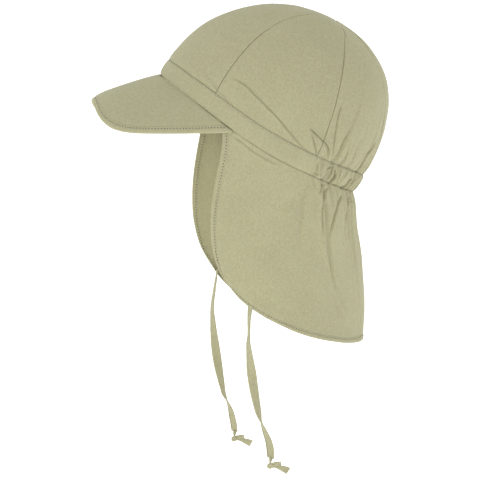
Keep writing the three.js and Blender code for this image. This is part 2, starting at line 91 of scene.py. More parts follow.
# Peak
PEAK_CORNER = 70.5
PEAK_WALL = 0.0022
PEAK_SQUARENESS = 3.15
PEAK_ARCH = 0.0172
PEAK_ARCH_HALF_WIDTH = 0.059
PEAK_ARCH_POINT = 1.15
PEAK_BOW = 0.0012
PEAK_ROLL = 0.0030
PEAK_ROLL_REACH = 0.003
PEAK_END = 0.0016

# Neck flap
FLAP_CORNER = 62
FLAP_TUCK_START = 71.5
FLAP_TUCK_END = 81
FLAP_SWING = 1.6
FLAP_LAP = 0.00025
RIGHT_SIDE_DROP = 0.012
RIGHT_SIDE_DROP_ANGLE = 80
RIGHT_SIDE_DROP_SPREAD = 20
RIGHT_SIDE_LEAD = 0.0022

# Elastic and its gathers
ELASTIC_START = 116.5
ELASTIC_BLEND = 4
GATHER_PUFF = 0.0009
VALLEY_REACH = 1.2
FOLD_FADE_POWER = 1.5

# Folds that start at the elastic: place along it, depth as a share of the gather depth, and how far
# the fold runs up the crown and down the flap, as shares of the crown height and the flap drop
GATHERS = {
    "at": (0.03, 0.13, 0.22, 0.31, 0.41, 0.50, 0.59, 0.70, 0.81, 0.92),
    "depth": (0.7, 1.0, 0.9, 0.6, 0.5, 1.0, 0.8, 0.8, 0.7, 0.8),
    "up": (0.18, 0.45, 0.14, 0.26, 0.12, 0.34, 0.16, 0.28, 0.20, 0.24),
    "down": (0.14, 0.75, 0.16, 0.12, 0.28, 0.34, 0.70, 0.22, 0.45, 0.25),
}

# Front edge of the flap: a departure ahead of the straight line, in half lengths
FLAP_FRONT_EDGE = {
    "down": (0, 0.09, 0.19, 0.33, 0.47, 0.60, 0.74, 0.85, 0.93, 1),
    "ahead": (0, -0.014, 0, 0.044, 0.083, 0.104, 0.106, 0.083, 0.050, 0),
}

# Middle of the flap's back: a departure behind the straight line, in half lengths
FLAP_BACK_LINE = {
    "down": (0, 0.1, 0.3, 0.5, 0.8, 1),
    "behind": (0, 0.021, 0.032, 0.042, 0.036, 0),
}

# Hem of the flap: out in half breadths, behind in half lengths, drop as a share of the flap drop
FLAP_HEM = {
    "angle": (62, 70, 80, 90, 100, 110, 119, 128, 150, 180),
    "out": (0.843, 0.886, 0.914, 0.900, 0.829, 0.714, 0.500, 0.286, 0.114, 0),
    "behind": (-0.369, -0.234, -0.055, 0.118, 0.302, 0.492, 0.712, 0.855, 0.955, 0.990),
    "drop": (0.617, 0.706, 0.778, 0.830, 0.880, 0.921, 0.963, 0.989, 1, 0.996),
}

# Middle line of each tie, x, y, z, and how far its flat side is turned there, in degrees
LEFT_TIE = (
    (0.0606, -0.0122, -0.1205, 66),
    (0.0608, -0.0134, -0.1285, 74),
    (0.0624, -0.0145, -0.1380, 84),
    (0.0640, -0.0149, -0.1500, 88),
    (0.0645, -0.0152, -0.1570, 74),
    (0.0640, -0.0138, -0.1700, 44),
    (0.0634, -0.0122, -0.1830, 8),
    (0.0630, -0.0102, -0.1960, -18),
    (0.0630, -0.0078, -0.2090, -40),
    (0.0630, -0.0061, -0.2160, -62),
    (0.0630, -0.0042, -0.2220, -92),
    (0.0630, -0.0017, -0.2290, -115),
    (0.0630, 0.0009, -0.2360, -130),
    (0.0630, 0.0024, -0.2430, -137),
    (0.0630, 0.0029, -0.2508, -132),
)
RIGHT_TIE = (
    (-0.0592, -0.0236, -0.1215, 98),
    (-0.0596, -0.0246, -0.1300, 94),
    (-0.0620, -0.0261, -0.1420, 88),
    (-0.0636, -0.0276, -0.1570, 80),
    (-0.0634, -0.0272, -0.1670, 66),
    (-0.0630, -0.0262, -0.1810, 40),
    (-0.0624, -0.0246, -0.1950, 12),
    (-0.0620, -0.0225, -0.2090, -16),
    (-0.0620, -0.0197, -0.2235, -46),
    (-0.0620, -0.0182, -0.2310, -62),
    (-0.0620, -0.0154, -0.2380, -88),
    (-0.0620, -0.0128, -0.2450, -112),
    (-0.0620, -0.0111, -0.2520, -128),
    (-0.0620, -0.0097, -0.2595, -130),
    (-0.0620, -0.0088, -0.2660, -126),
)

# Creases and folds of the left side, which cross from piece to piece. Each has its depth, half width,
# how much of that depth stands up beside it as a ridge, the side of that ridge as seen when going
# along the line (1 left, -1 right), how deep the shade painted along it is, and its line. A raised
# fold has a depth below 0, and a shade below 0, which paints a highlight along it. Millimetres
CREASES = (
    (1, 0.7, 0.9, -1, 0.22, ((55.8, -28.5, 52.7), (61.4, -17.6, 47.1), (64.7, -10.4, 39.7), (67.2, -3, 32.2),
        (68.9, 4.5, 24.6), (68.6, 12.3, 15.1), (67.9, 20.2, 5.6), (65.8, 26.8, -1.8), (66, 32.3, -7.4),
        (63.1, 37.6, -12.7))),
    (1.44, 0.6, 0.9, 1, 0.34, ((67.5, 31.1, 14.6), (65.3, 36.2, 9.5), (64.3, 40.4, 5.4), (61.8, 44.8, 1),
        (60.3, 47.4, -3.9), (60.5, 47.4, -9.4), (61, 45.8, -13.2))),
    (1.1, 0.5, 0.7, 1, 0.28, ((66.2, 33, 9.7), (63.3, 35.9, -0.1), (63.1, 37.9, -8.8), (62.6, 38.4, -12.8))),
    (0.96, 0.5, 0.8, 1, 0.24, ((58.7, 58.4, 31.5), (60.7, 55, 18.6), (61.1, 52.7, 3.1), (59.9, 51.5, -8.8),
        (55.9, 51.9, -14.9))),
    (0.7, 0.7, 0.7, -1, 0.12, ((56.8, 54.5, -14.8), (57.4, 58.2, -5.4), (57.3, 62.9, 4.7), (56.1, 67, 11.5))),
    (0.5, 0.6, 0.6, -1, 0.08, ((52.5, 60.9, -17.3), (54, 64.4, -6.1), (55.5, 65.6, 2))),
    (0.5, 0.6, 0.6, -1, 0.08, ((47.1, 67.5, -20.7), (49.6, 71.7, -6.9), (49.6, 76.3, 4.8))),
    (1.3, 0.7, 0.7, -1, 0.35, ((35.5, 76.3, -26), (37.3, 82.2, -14.6), (33.2, 88.6, -7.4), (30.9, 93, -0.7))),
    (0.6, 0.6, 0.8, 1, 0.18, ((45.5, -46.4, 54.9), (50.7, -41.7, 48.5), (54.8, -38.4, 42.8),
        (56.6, -38.6, 39.2))),
    (0.5, 0.6, 0.8, 1, 0.15, ((55.4, -37.7, 42.1), (59.3, -32.8, 37.9), (62.1, -28.6, 32.8))),
    (-0.5, 1.6, 0.6, 1, -0.05, ((35.2, -31.9, 79), (45.2, -15.3, 76.7))),
    (-0.5, 1.6, 0.6, 1, -0.05, ((37.8, -15.8, 84.5), (42.8, 0.6, 83.2))),
    (-0.4, 1.6, 0.6, 1, -0.05, ((26.1, -20.5, 90.4), (30.2, -5.4, 92.1), (29.6, 6.5, 94.3))),
    (0.5, 0.7, 0.5, 1, 0.25, ((14.5, 64.7, 87.4), (22.7, 67.2, 82.7), (32.2, 65.4, 77.4))),
    (0.6, 0.5, 0.5, 1, 0.55, ((61.6, 35.6, -21.5), (61, 40.4, -24.8))),
    (0.6, 0.5, 0.5, 1, 0.55, ((55, 46.3, -30.7), (51.6, 48.5, -32.2))),
    (0.6, 0.5, 0.5, 1, 0.55, ((51.6, 48.5, -32.2), (51.9, 50, -32.9))),
    (0.6, 0.5, 0.5, 1, 0.55, ((51.4, 52.9, -33.5), (47.5, 56.5, -35.1))),
    (0.6, 0.5, 0.5, 1, 0.55, ((45.7, 59.2, -37.8), (35.3, 67.7, -40.6))),
    (0.6, 0.5, 0.5, 1, 0.55, ((29, 70.1, -44.6), (27.6, 72.8, -42.5))),
    (0.5, 0.5, 0.5, 1, 0.5, ((55.9, 50.7, -15.7), (56.6, 53, -16.4))),
    (0.5, 0.5, 0.5, 1, 0.5, ((47.4, 65.5, -21), (42.1, 69.7, -23.1))),
    (0.5, 0.5, 0.5, 1, 0.55, ((40.7, 72.4, -24.6), (29.4, 78, -28.2))),
    (1.2, 1.1, 0.6, 1, 0.2, ((61.1, 44.2, -13.9), (62.4, 42.5, -19.9), (60, 41.4, -26.6))),
    (0.9, 0.6, 0.6, 1, 0.35, ((62.3, 38.9, -14.4), (61.5, 38.7, -21.6))),
    (1.5, 0.7, 0.8, 1, 0.5, ((56.7, 52.2, -17.2), (57.6, 51.2, -20.9), (57.1, 48.2, -27.3),
        (56.6, 45.2, -29.6))),
    (1, 0.5, 0.6, 1, 0.35, ((56.8, 50.6, -18.7), (61.5, 45, -20.9))),
    (1.5, 0.6, 0.8, 1, 0.5, ((56.9, 52.9, -19.5), (53.1, 53.7, -25.7), (52.3, 51.5, -30.5),
        (51.8, 49.3, -32.2))),
    (1.2, 0.7, 0.7, 1, 0.3, ((52.4, 59.3, -20.4), (52.9, 57.7, -26.6), (47.8, 55.6, -33.8))),
    (0.9, 0.7, 0.6, 1, 0.2, ((47.4, 65.1, -23), (48.4, 62.6, -29.1))),
    (1.5, 0.7, 0.8, 1, 0.5, ((35.7, 73.1, -29.9), (42.3, 68.6, -31.9), (41.6, 64, -37.5),
        (45.8, 59.2, -38.2))),
    (1.2, 0.7, 0.7, 1, 0.35, ((29.6, 76.7, -31), (36.1, 73.1, -33.8), (35.6, 69.2, -38.6))),
    (1.2, 0.7, 0.7, 1, 0.35, ((21, 80.9, -35.8), (21.3, 76.9, -41.3), (27.8, 71.6, -44.1))),
    (1.4, 0.6, 0.9, 1, 0.32, ((51.7, 49.3, -33.7), (56.1, 46.5, -37.7), (54.6, 44.9, -43),
        (57.3, 44.2, -52.5),
        (55.6, 44.9, -64.7), (53.7, 45.7, -77.1))),
    (-1.1, 1.3, 0.5, 1, -0.12, ((55, 45.4, -67.2), (51.8, 47.3, -85.6), (47.7, 50.2, -98.6),
        (43.8, 53, -110.1), (39.6, 56.4, -120.9), (35.8, 61.2, -131.7), (30.3, 67.3, -141.5),
        (24.6, 72.6, -153), (21.1, 75.9, -162.3))),
    (1.2, 0.6, 0.8, 1, 0.3, ((28.7, 71.5, -47.6), (34.9, 68.6, -48.4), (34.7, 68.3, -51.6),
        (38.3, 67.3, -59.8), (37.5, 67.6, -71.3))),
    (1.8, 0.8, 0.8, 1, 0.4, ((41.8, 61.6, -42.2), (47.1, 58.3, -49.1), (49.6, 55.5, -58.2),
        (50.7, 51.4, -71.4), (49.5, 50.1, -78.1))),
    (-1.2, 1, 0.6, 1, -0.12, ((38.6, 66.9, -64.6), (37.1, 67.7, -74.6), (30.6, 71.5, -87.4),
        (25.2, 76, -101.7))),
    (0.7, 0.5, 0.5, 1, 0.4, ((34.8, 68.7, -50.4), (20.7, 75.5, -52.7))),
    (1.3, 0.8, 0.7, 1, 0.25, ((56.2, 44.5, -32.1), (58.8, 42.5, -36.3), (59.9, 40.7, -40.8))),
    (1.1, 1.8, 0.8, 1, 0.06, ((60.4, 35, -28), (63.3, 30.6, -33.6), (64.7, 28.1, -40.4), (64.6, 27.3, -46.7),
        (64, 27.5, -54.7), (63.4, 26.1, -66.7), (62.1, 25.6, -82.8))),
    (0.7, 1.3, 0.6, 1, 0, ((59.9, 39.2, -43.9), (59.4, 38.6, -55.9), (58, 40.5, -64.1))),
    (0.7, 3, 0.5, 1, 0, ((66.4, 22.3, -38.4), (67.7, 12.7, -48.1), (68.2, 1, -61.1))),
    (0.5, 3, 0.5, 1, 0, ((64.9, -14.1, -112.1), (65.1, -4.7, -118.7), (64, 5.8, -125.7), (61, 18.2, -131.7),
        (56.3, 31, -138.9))),
    (0.7, 0.7, 0.9, -1, 0.15, ((63.1, -27.2, 8.2), (65.2, -22, 4.5), (68.9, -14.8, -1.2), (69.5, -9.5, -5.1),
        (69.9, -2.6, -9.1), (68.6, 12.4, -16.7))),
)
RIGHT_CREASE_SHIFT = (0, 3, -4)
CREASE_REACH = 0.005
CREASE_SHADE = 0.5
MILLIMETRE = 0.001

# Section of a crease, in half widths: its steep and gentle side, and the place, width and height of the
# ridge beside it. The start and end are the shares of its line over which it deepens and runs out
CREASE_STEEP = 0.75
CREASE_GENTLE = 1.5
CREASE_RIDGE = (2.1, 1.2, 0.45)
CREASE_START = 0.12
CREASE_END = 0.3
CREASE_MARGIN = 4

# Undulation of soft cloth: how many waves it is made of, and how far their lengths spread
SOFT_WAVES = 8
SOFT_SPREAD = (0.7, 1.6)

# Usual length and height of the waves in each kind of cloth. Those of a seam vary the depth of its painted
# shade
SOFT = {
    "crown": (0.045, 0.00035),
    "crown, fine": (0.018, 0.00012),
    "seam": (0.03, 0.5),
    "headband": (0.03, 0.00022),
    "elastic": (0.0055, 0.00030),
    "peak": (0.05, 0.00030),
    "flap": (0.034, 0.0007),
    "flap, fine": (0.02, 0.0002),
    "tape": (0.006, 0.00008),
    "knot": (0.004, 0.00012),
}

# How much slower the waves run downwards in cloth that hangs or is drawn together
ELASTIC_STRETCH = (1, 1, 0.35)
FLAP_STRETCH = (1, 1, 0.45)

# Finer rows and columns along every edge, and how much faster a sewn edge is rounded than a free one
EDGE_ZONE = 0.003
EDGE_STEP = 0.0004
SEWN_EDGE = 4

# Share of a line's length over which its direction is read
TANGENT_STEP = 0.001


# ---- settings


def a_length(name, description, default, precision=4):
    return bpy.props.FloatProperty(
        name=name, description=description, default=default, unit="LENGTH", precision=precision)


def an_angle(name, description, degrees):
    return bpy.props.FloatProperty(
        name=name, description=description, default=math.radians(degrees), subtype="ANGLE", unit="ROTATION")


def a_share(name, description, default):
    return bpy.props.FloatProperty(
        name=name, description=description, default=default, min=0, max=1, subtype="FACTOR")


def a_colour(name, description, *default):
    return bpy.props.FloatVectorProperty(
        name=name, description=description, default=default, size=3, min=0, max=1, subtype="COLOR")


def a_strength(name, description, default, unit="NONE"):
    return bpy.props.FloatProperty(name=name, description=description, default=default, min=0, unit=unit)


class CapSizes(bpy.types.PropertyGroup):
    half_length: a_length("Half length", "Half of the headband's length from front to back", 0.0905)
    half_breadth: a_length("Half breadth", "Half of the headband's breadth from side to side", 0.070)
    head_tilt: an_angle("Head tilt", "How far the headband is tipped back", 31.2)
    band_height: a_length("Headband height", "Height of the headband", 0.016)
    crown_height: a_length("Crown height", "Height of the crown above the headband's lower edge", 0.110)
    peak_reach: a_length("Peak reach", "How far the peak stands out in front of the headband", 0.0546)
    flap_drop: a_length("Flap drop", "How far the neck flap hangs below the head opening", 0.172)
    gather_depth: a_length("Gather depth", "Depth of the folds that the elastic makes", 0.0012)
    cloth_wall: a_length(
        "Cloth thickness", "Thickness of the crown and flap cloth with its seam allowances", 0.0012)
    band_wall: a_length("Headband thickness", "Thickness of the doubled headband", 0.0016)
    tape_width: a_length("Tape width", "Width of the flat tape that the ties are made of", 0.0075)
    tape_wall: a_length("Tape thickness", "Thickness of the folded and sewn tape", 0.0012)
    stitch_pitch: a_length("Stitch pitch", "Distance from one stitch to the next", 0.0024)
    stitch_inset: a_length(
        "Hem stitch inset", "Distance of the topstitching from the edge of the peak and flap", 0.0044)


class CapFinish(bpy.types.PropertyGroup):
    cloth: a_colour("Cloth", "Colour of the cotton", 0.386, 0.372, 0.233)
    cloth_deep: a_colour(
        "Cloth, darker threads", "Colour of the darker threads of the weave", 0.292, 0.281, 0.170)
    # The colour that painted shade darkens the cotton towards, in creases, seams and hems
    crease: a_colour("Creases", "Colour of the cloth deep in a crease", 0.13, 0.118, 0.052)
    thread: a_colour("Sewing thread", "Colour of the topstitching", 0.45, 0.43, 0.30)
    # Colour of the dark beads put between the stitches as painted shade in the needle holes
    needle_hole: a_colour(
        "Needle holes", "Colour of the shaded holes between the stitches", 0.075, 0.072, 0.045)
    roughness: a_share("Roughness", "Roughness of the cotton", 0.9)
    thinness: a_share("Thinness", "Share of the light that passes into the thin cotton", 0.25)
    weave: a_length("Weave pitch", "Distance from one thread of the weave to the next", 0.00055, 5)


class CapStage(bpy.types.PropertyGroup):
    azimuth: an_angle("Camera azimuth", "Direction that the camera stands in, from the front", 82)
    elevation: an_angle("Camera elevation", "How far the camera looks down", 11.5)
    distance: a_length("Camera distance", "From the camera to the middle of the cap", 1.6)
    floor_drop: a_length("Floor drop", "How far the floor lies below the lowest knot", 0.06)
    floor: a_colour("Floor", "Colour of the floor", 0.97, 0.97, 0.97)
    floor_glow: a_strength("Floor glow", "How much light the floor itself gives off", 0.5)
    key_power: a_strength("Main light", "Power of the large light in front", 2.5, "POWER")
    fill_power: a_strength("Fill light", "Power of the low light that reaches under the peak", 4.2, "POWER")
    neck_power: a_strength(
        "Neck light", "Power of the small light behind the flap, for the inside of its far half",
        0.05, "POWER")
    sky: a_strength("Surrounding light", "Strength of the even light all round", 1.0)


# ---- curves and surfaces


def sizes():
    return bpy.context.scene.cap_sizes


def ease(value):
    t = np.clip(value, 0, 1)
    return t * t * (3 - 2 * t)


def unit(vectors):
    return vectors / np.maximum(np.linalg.norm(vectors, axis=-1, keepdims=True), 1e-12)


def through(table, along, column):
    """A smooth curve through a table: one column read against another."""
    x = np.array(table[along], float)
    y = np.array(table[column], float)
    before = np.maximum(np.arange(len(x)) - 1, 0)
    after = np.minimum(np.arange(len(x)) + 1, len(x) - 1)
    slope = (y[after] - y[before]) / (x[after] - x[before])

    def curve(place):
        place = np.asarray(place, float)
        i = np.clip(np.searchsorted(x, place) - 1, 0, len(x) - 2)
        span = x[i + 1] - x[i]
        t = (place - x[i]) / span
        rise = y[i + 1] - y[i]
        first = slope[i] * span - rise
        last = rise - slope[i + 1] * span
        return y[i] + rise * t + t * (1 - t) * (first * (1 - t) + last * t)

    return curve


def tipped(points):
    """From the upright frame of the cap to the frame of the part, where the cap is tipped back."""
    turn = -sizes().head_tilt
    x, y, z = np.moveaxis(points, -1, 0)
    return np.stack([x, y * math.cos(turn) - z * math.sin(turn), y * math.sin(turn) + z * math.cos(turn)], -1)


def half_angle(angle):
    return np.where(angle > 180, 360 - angle, np.abs(angle))


def band_point(angle, height, out=0.0):
    """A point of the headband's outer face, in the upright frame of the cap."""
    s = sizes()
    a = np.radians(angle)
    droop = SIDE_DROOP * np.sin(a) ** SIDE_DROOP_POWER
    rise = FRONT_RISE * (1 - height / s.band_height) * np.maximum(0, np.cos(a))
    zero = np.zeros(np.broadcast(a, height).shape)
    point = np.stack([
        s.half_breadth * np.sin(a) + zero,
        -s.half_length * np.cos(a) + zero,
        height - droop + rise + zero,
    ], -1)
    outward = unit(np.stack([np.sin(a) / s.half_breadth + zero, -np.cos(a) / s.half_length + zero, zero], -1))
    return point + outward * (np.zeros_like(zero) + out)[..., None]


def band_facing(angle):
    """The way that the headband's outer face looks at an angle, in the frame of the part."""
    foot = np.zeros_like(angle)
    return unit(tipped(band_point(angle, foot, 1.0)) - tipped(band_point(angle, foot)))


def fold_angles():
    return ELASTIC_START + np.array(GATHERS["at"]) * (180 - ELASTIC_START)


def gathered(angle, fade):
    """How far the gathers stand out or in at an angle, when each fold is faded by its own share."""
    s = sizes()
    place = half_angle(angle)
    inside = ease((place - ELASTIC_START) / ELASTIC_BLEND + 0.5)
    at = fold_angles()
    following = np.append(at[1:], 180)
    out = GATHER_PUFF * inside * fade(0)
    for k, (fold, after, depth) in enumerate(zip(at, following, GATHERS["depth"])):
        reach = VALLEY_REACH * (after - fold) / 3
        near = np.clip(1 - np.abs(place - fold) / reach, 0, 1)
        out = out - depth * (s.gather_depth + GATHER_PUFF) * ease(near) * fade(k)
    return out


def dome_point(angle, climb):
    """The dome: angle round the head, and climb 0 at the headband and 90 at the top."""
    s = sizes()
    to_front = np.cos(np.radians(angle))
    end = np.where(to_front > 0, FULLNESS_FRONT, FULLNESS_BACK)
    fullness = FULLNESS_SIDE + (end - FULLNESS_SIDE) * np.abs(to_front)
    inner = np.cos(np.radians(climb)) ** (2 / fullness)
    risen = np.sin(np.radians(climb)) ** (2 / fullness)
    foot = band_point(angle, s.band_height + SEAM_GAP)
    return np.stack([
        foot[..., 0] * inner,
        APEX_SETBACK * (1 - inner) + foot[..., 1] * inner,
        foot[..., 2] * (1 - risen) + s.crown_height * risen,
    ], -1)


def seam_line(seam):
    foot, top = seam
    return lambda climb: foot + (top - foot) * np.sin(np.radians(climb))


def mirrored(line, turn):
    return lambda climb: turn - line(climb)


def run_of(points):
    """Length along a line up to each of its points."""
    return np.concatenate([[0], np.cumsum(np.linalg.norm(np.diff(points, axis=0), axis=1))])


def curve_through(points, **columns):
    """A smooth curve through points, and a reader of other columns, both at shares of its length."""
    points = np.asarray(points, float)
    run = run_of(points)
    table = {"run": run / run[-1], **dict(zip("xyz", points.T)), **columns}
    read = lambda key, place: through(table, "run", key)(place)
    return lambda place: np.stack([read(axis, place) for axis in "xyz"], -1), read


def tangent_of(at, place):
    return unit(at(np.minimum(place + TANGENT_STEP, 1)) - at(np.maximum(place - TANGENT_STEP, 0)))


def creased(points, normals, line, wide, side):
    """Distance of each point from a line on the cloth, in half widths, and the share along the line."""
    nearest = np.full(len(points), np.inf)
    across = np.full(len(points), np.inf)
    along = np.zeros(len(points))
    run = run_of(line)
    for k, step in enumerate(np.diff(run)):
        way = (line[k + 1] - line[k]) / step
        t = np.clip((points - line[k]) @ way, 0, step)
        away = points - (line[k] + t[:, None] * way)
        height = (away * normals).sum(-1)
        away = away - normals * height[:, None]
        off = np.linalg.norm(away, axis=-1)
        closer = (off < nearest) & (np.abs(height) < CREASE_REACH)
        left = (np.cross(normals, way) * away).sum(-1) > 0
        nearest = np.where(closer, off, nearest)
        across = np.where(closer, np.where(left, off, -off) * side / wide, across)
        along = np.where(closer, (run[k] + t) / run[-1], along)
    return across, along


def add_creases(cloth):
    """Press the creases that cross a cloth into it, each with a steep side, a gentle side and a ridge, and
    paint shade along each crease, or a highlight along a raised fold.
    """
    ridge_place, ridge_width, ridge_height = CREASE_RIDGE
    for depth, wide, ridge, side, shade, line in CREASES:
        for half in (1, -1):
            ends = np.array(line) * (half, 1, 1)
            if half < 0:
                ends = ends + RIGHT_CREASE_SHIFT
            ends = curve_through(ends * MILLIMETRE)[0](np.linspace(0, 1, 5 * len(line)))
            margin = CREASE_REACH + CREASE_MARGIN * wide * MILLIMETRE
            near = ((cloth.points > ends.min(0) - margin) & (cloth.points < ends.max(0) + margin)).all(-1)
            if not near.any():
                continue
            across, along = creased(
                cloth.points[near], cloth.normals[near], ends, wide * MILLIMETRE, side * half)
            taper = ease(along / CREASE_START) * ease((1 - along) / CREASE_END)
            valley = np.exp(-(across / np.where(across > 0, CREASE_STEEP, CREASE_GENTLE)) ** 2)
            bank = np.where(across > 0, np.exp(-((across - ridge_place) / ridge_width) ** 2), 0)
            cloth.relief[near] -= depth * MILLIMETRE * taper * (valley - ridge * ridge_height * bank)
            # Painted shade along the crease, deepest on its line; a shade below 0 paints a highlight instead
            mark = shade * taper * np.exp(-(across * wide / CREASE_SHADE) ** 2)
            before = cloth.shade[near]
            cloth.shade[near] = np.where(mark < 0, before + mark, np.maximum(before, mark))


def softness(points, reach, height, seed):
    """Slow, shallow undulation of soft cloth."""
    random = np.random.default_rng(seed)
    total = np.zeros(points.shape[:-1])
    for _ in range(SOFT_WAVES):
        way = unit(random.normal(size=3))
        wave = 2 * math.pi / (reach * random.uniform(*SOFT_SPREAD))
        total += np.sin(points @ way * wave + random.uniform(0, 2 * math.pi))
    return height * total / math.sqrt(SOFT_WAVES)


# ---- from a surface to a piece


def graded(length, step, *zones):
    """Shares of a length in even steps, finer near both ends and in zones of start, end and step."""
    zones = ((0, EDGE_ZONE, EDGE_STEP), *zones, (length - EDGE_ZONE, length, EDGE_STEP))
    shares = []
    place = 0.0
    while place < length - 1e-4:
        shares.append(place / length)
        place += min([step] + [fine for start, end, fine in zones if start <= place + 1e-9 < end])
    return np.array(shares + [1.0])


def even_rows(surface, u, shares):
    """Values of v that lie at shares of the length of the line of constant u."""
    v = np.linspace(0, 1, 900)
    points = surface(np.full_like(v, u), v)
    run = run_of(points)
    return np.interp(shares * run[-1], run, v)


class Cloth:
    """A sheet of cloth as a grid: its smooth points, normals and the lengths along its threads."""

    def __init__(self, surface, columns, rows, ring=False, free=()):
        self.ring = ring
        self.free = free
        self.columns, self.rows = columns, rows
        self.u, self.v = np.meshgrid(columns, rows)
        self.points = surface(self.u, self.v)
        self.relief = np.zeros(self.u.shape)
        # Shade painted into the colour at each point; below 0 it is a painted highlight
        self.shade = np.zeros(self.u.shape)
        self.measure()

    def measure(self):
        if self.ring:
            padded = np.concatenate([self.points[:, -2:-1], self.points, self.points[:, 1:2]], 1)
            across = (padded[:, 2:] - padded[:, :-2])
        else:
            across = np.gradient(self.points, axis=1)
        up = np.gradient(self.points, axis=0)
        self.normals = unit(np.cross(across, up))
        steps = np.linalg.norm(np.diff(self.points, axis=1), axis=2)
        self.weft = np.concatenate([np.zeros((len(self.rows), 1)), np.cumsum(steps, 1)], 1)
        steps = np.linalg.norm(np.diff(self.points, axis=0), axis=2)
        self.warp = np.concatenate([np.zeros((1, len(self.columns))), np.cumsum(steps, 0)], 0)
        self.low = self.warp
        self.high = self.warp[-1:] - self.warp
        self.left = self.weft
        self.right = self.weft[:, -1:] - self.weft

    def edge_distance(self):
        """Distance from the edge, counted faster from a sewn edge, which is hardly rounded."""
        sides = ("low", "high") if self.ring else ("low", "high", "left", "right")
        return np.minimum.reduce([
            getattr(self, side) * (1 if side in self.free else SEWN_EDGE) for side in sides])

    def meet_band(self, angle, distance):
        """Turn the normals near the headband to its own, so that both sides of the seam move as one."""
        near = np.exp(-((distance / BAND_MEETING) ** 2))[..., None]
        self.normals = unit(self.normals + (band_facing(angle) - self.normals) * near)

    def shifted(self):
        """The grid's outer skin."""
        return self.points + self.normals * self.relief[..., None]


def cloth_mesh(name, cloth, wall):
    """Two skins of a cloth grid that meet in a rounded edge, as one closed mesh."""
    columns, rows = len(cloth.columns) - 1, len(cloth.rows) - 1
    edge = np.clip(cloth.edge_distance() / (wall / 2), 0, 1)
    swell = wall / 2 * np.sqrt(1 - (1 - edge) ** 2)
    outer = cloth.points + cloth.normals * (cloth.relief - wall / 2 + swell)[..., None]
    inner = cloth.points + cloth.normals * (cloth.relief - wall / 2 - swell)[..., None]
    mesh = bmesh.new()
    threads = mesh.loops.layers.uv.new("threads")
    # The painted shade of each point, which the cotton's colour reads
    shade = mesh.verts.layers.float.new("crease")
    for skin, flip in ((outer, False), (inner, True)):
        made = bmesh.ops.create_grid(mesh, x_segments=columns, y_segments=rows, size=0.5)
        corners = made["verts"]
        place = {}
        for vert in corners:
            i = round((vert.co.x + 0.5) * columns)
            j = round((vert.co.y + 0.5) * rows)
            place[vert] = (cloth.weft[j, i], cloth.warp[j, i])
            vert.co = skin[j, i]
            vert[shade] = cloth.shade[j, i]
        faces = {face for vert in corners for face in vert.link_faces}
        for face in faces:
            for loop in face.loops:
                loop[threads].uv = place[loop.vert]
        if flip:
            bmesh.ops.reverse_faces(mesh, faces=list(faces))
    bmesh.ops.remove_doubles(mesh, verts=mesh.verts, dist=2e-6)
    for face in mesh.faces:
        face.smooth = True
    return finished(name, mesh)


def finished(name, mesh):
    """An object at the origin from a bmesh, which rides on the cap."""
    data = bpy.data.meshes.new(name)
    mesh.to_mesh(data)
    mesh.free()
    piece = bpy.data.objects.new(name, data)
    bpy.context.scene.collection.objects.link(piece)
    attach(piece, "root")
    return piece


# ---- materials


def wire(material, node, inputs):
    """Set a node's inputs: a socket is linked, and anything else is a value."""
    for key, value in inputs.items():
        if isinstance(value, bpy.types.NodeSocket):
            material.node_tree.links.new(value, node.inputs[key])
        else:
            node.inputs[key].default_value = value


def new_material(name, inputs):
    """A new material whose shader has these inputs."""
    material = bpy.data.materials.new(name)
    material.use_nodes = True
    wire(material, material.node_tree.nodes["Principled BSDF"], inputs)
    return material


def add_node(material, kind, output, inputs, **settings):
    """A new node with its settings and inputs. Its named output is handed back."""
    node = material.node_tree.nodes.new("ShaderNode" + kind)
    for key, value in settings.items():
        setattr(node, key, value)
    wire(material, node, inputs)
    return node.outputs[output]


def add_ramp(material, share, dark, light):
    """The colour at a share of the way from a dark to a light one."""
    colour = add_node(material, "ValToRGB", "Color", {"Fac": share})
    for element, end in zip(colour.node.color_ramp.elements, (dark, light)):
        element.color = (*end, 1)
    return colour


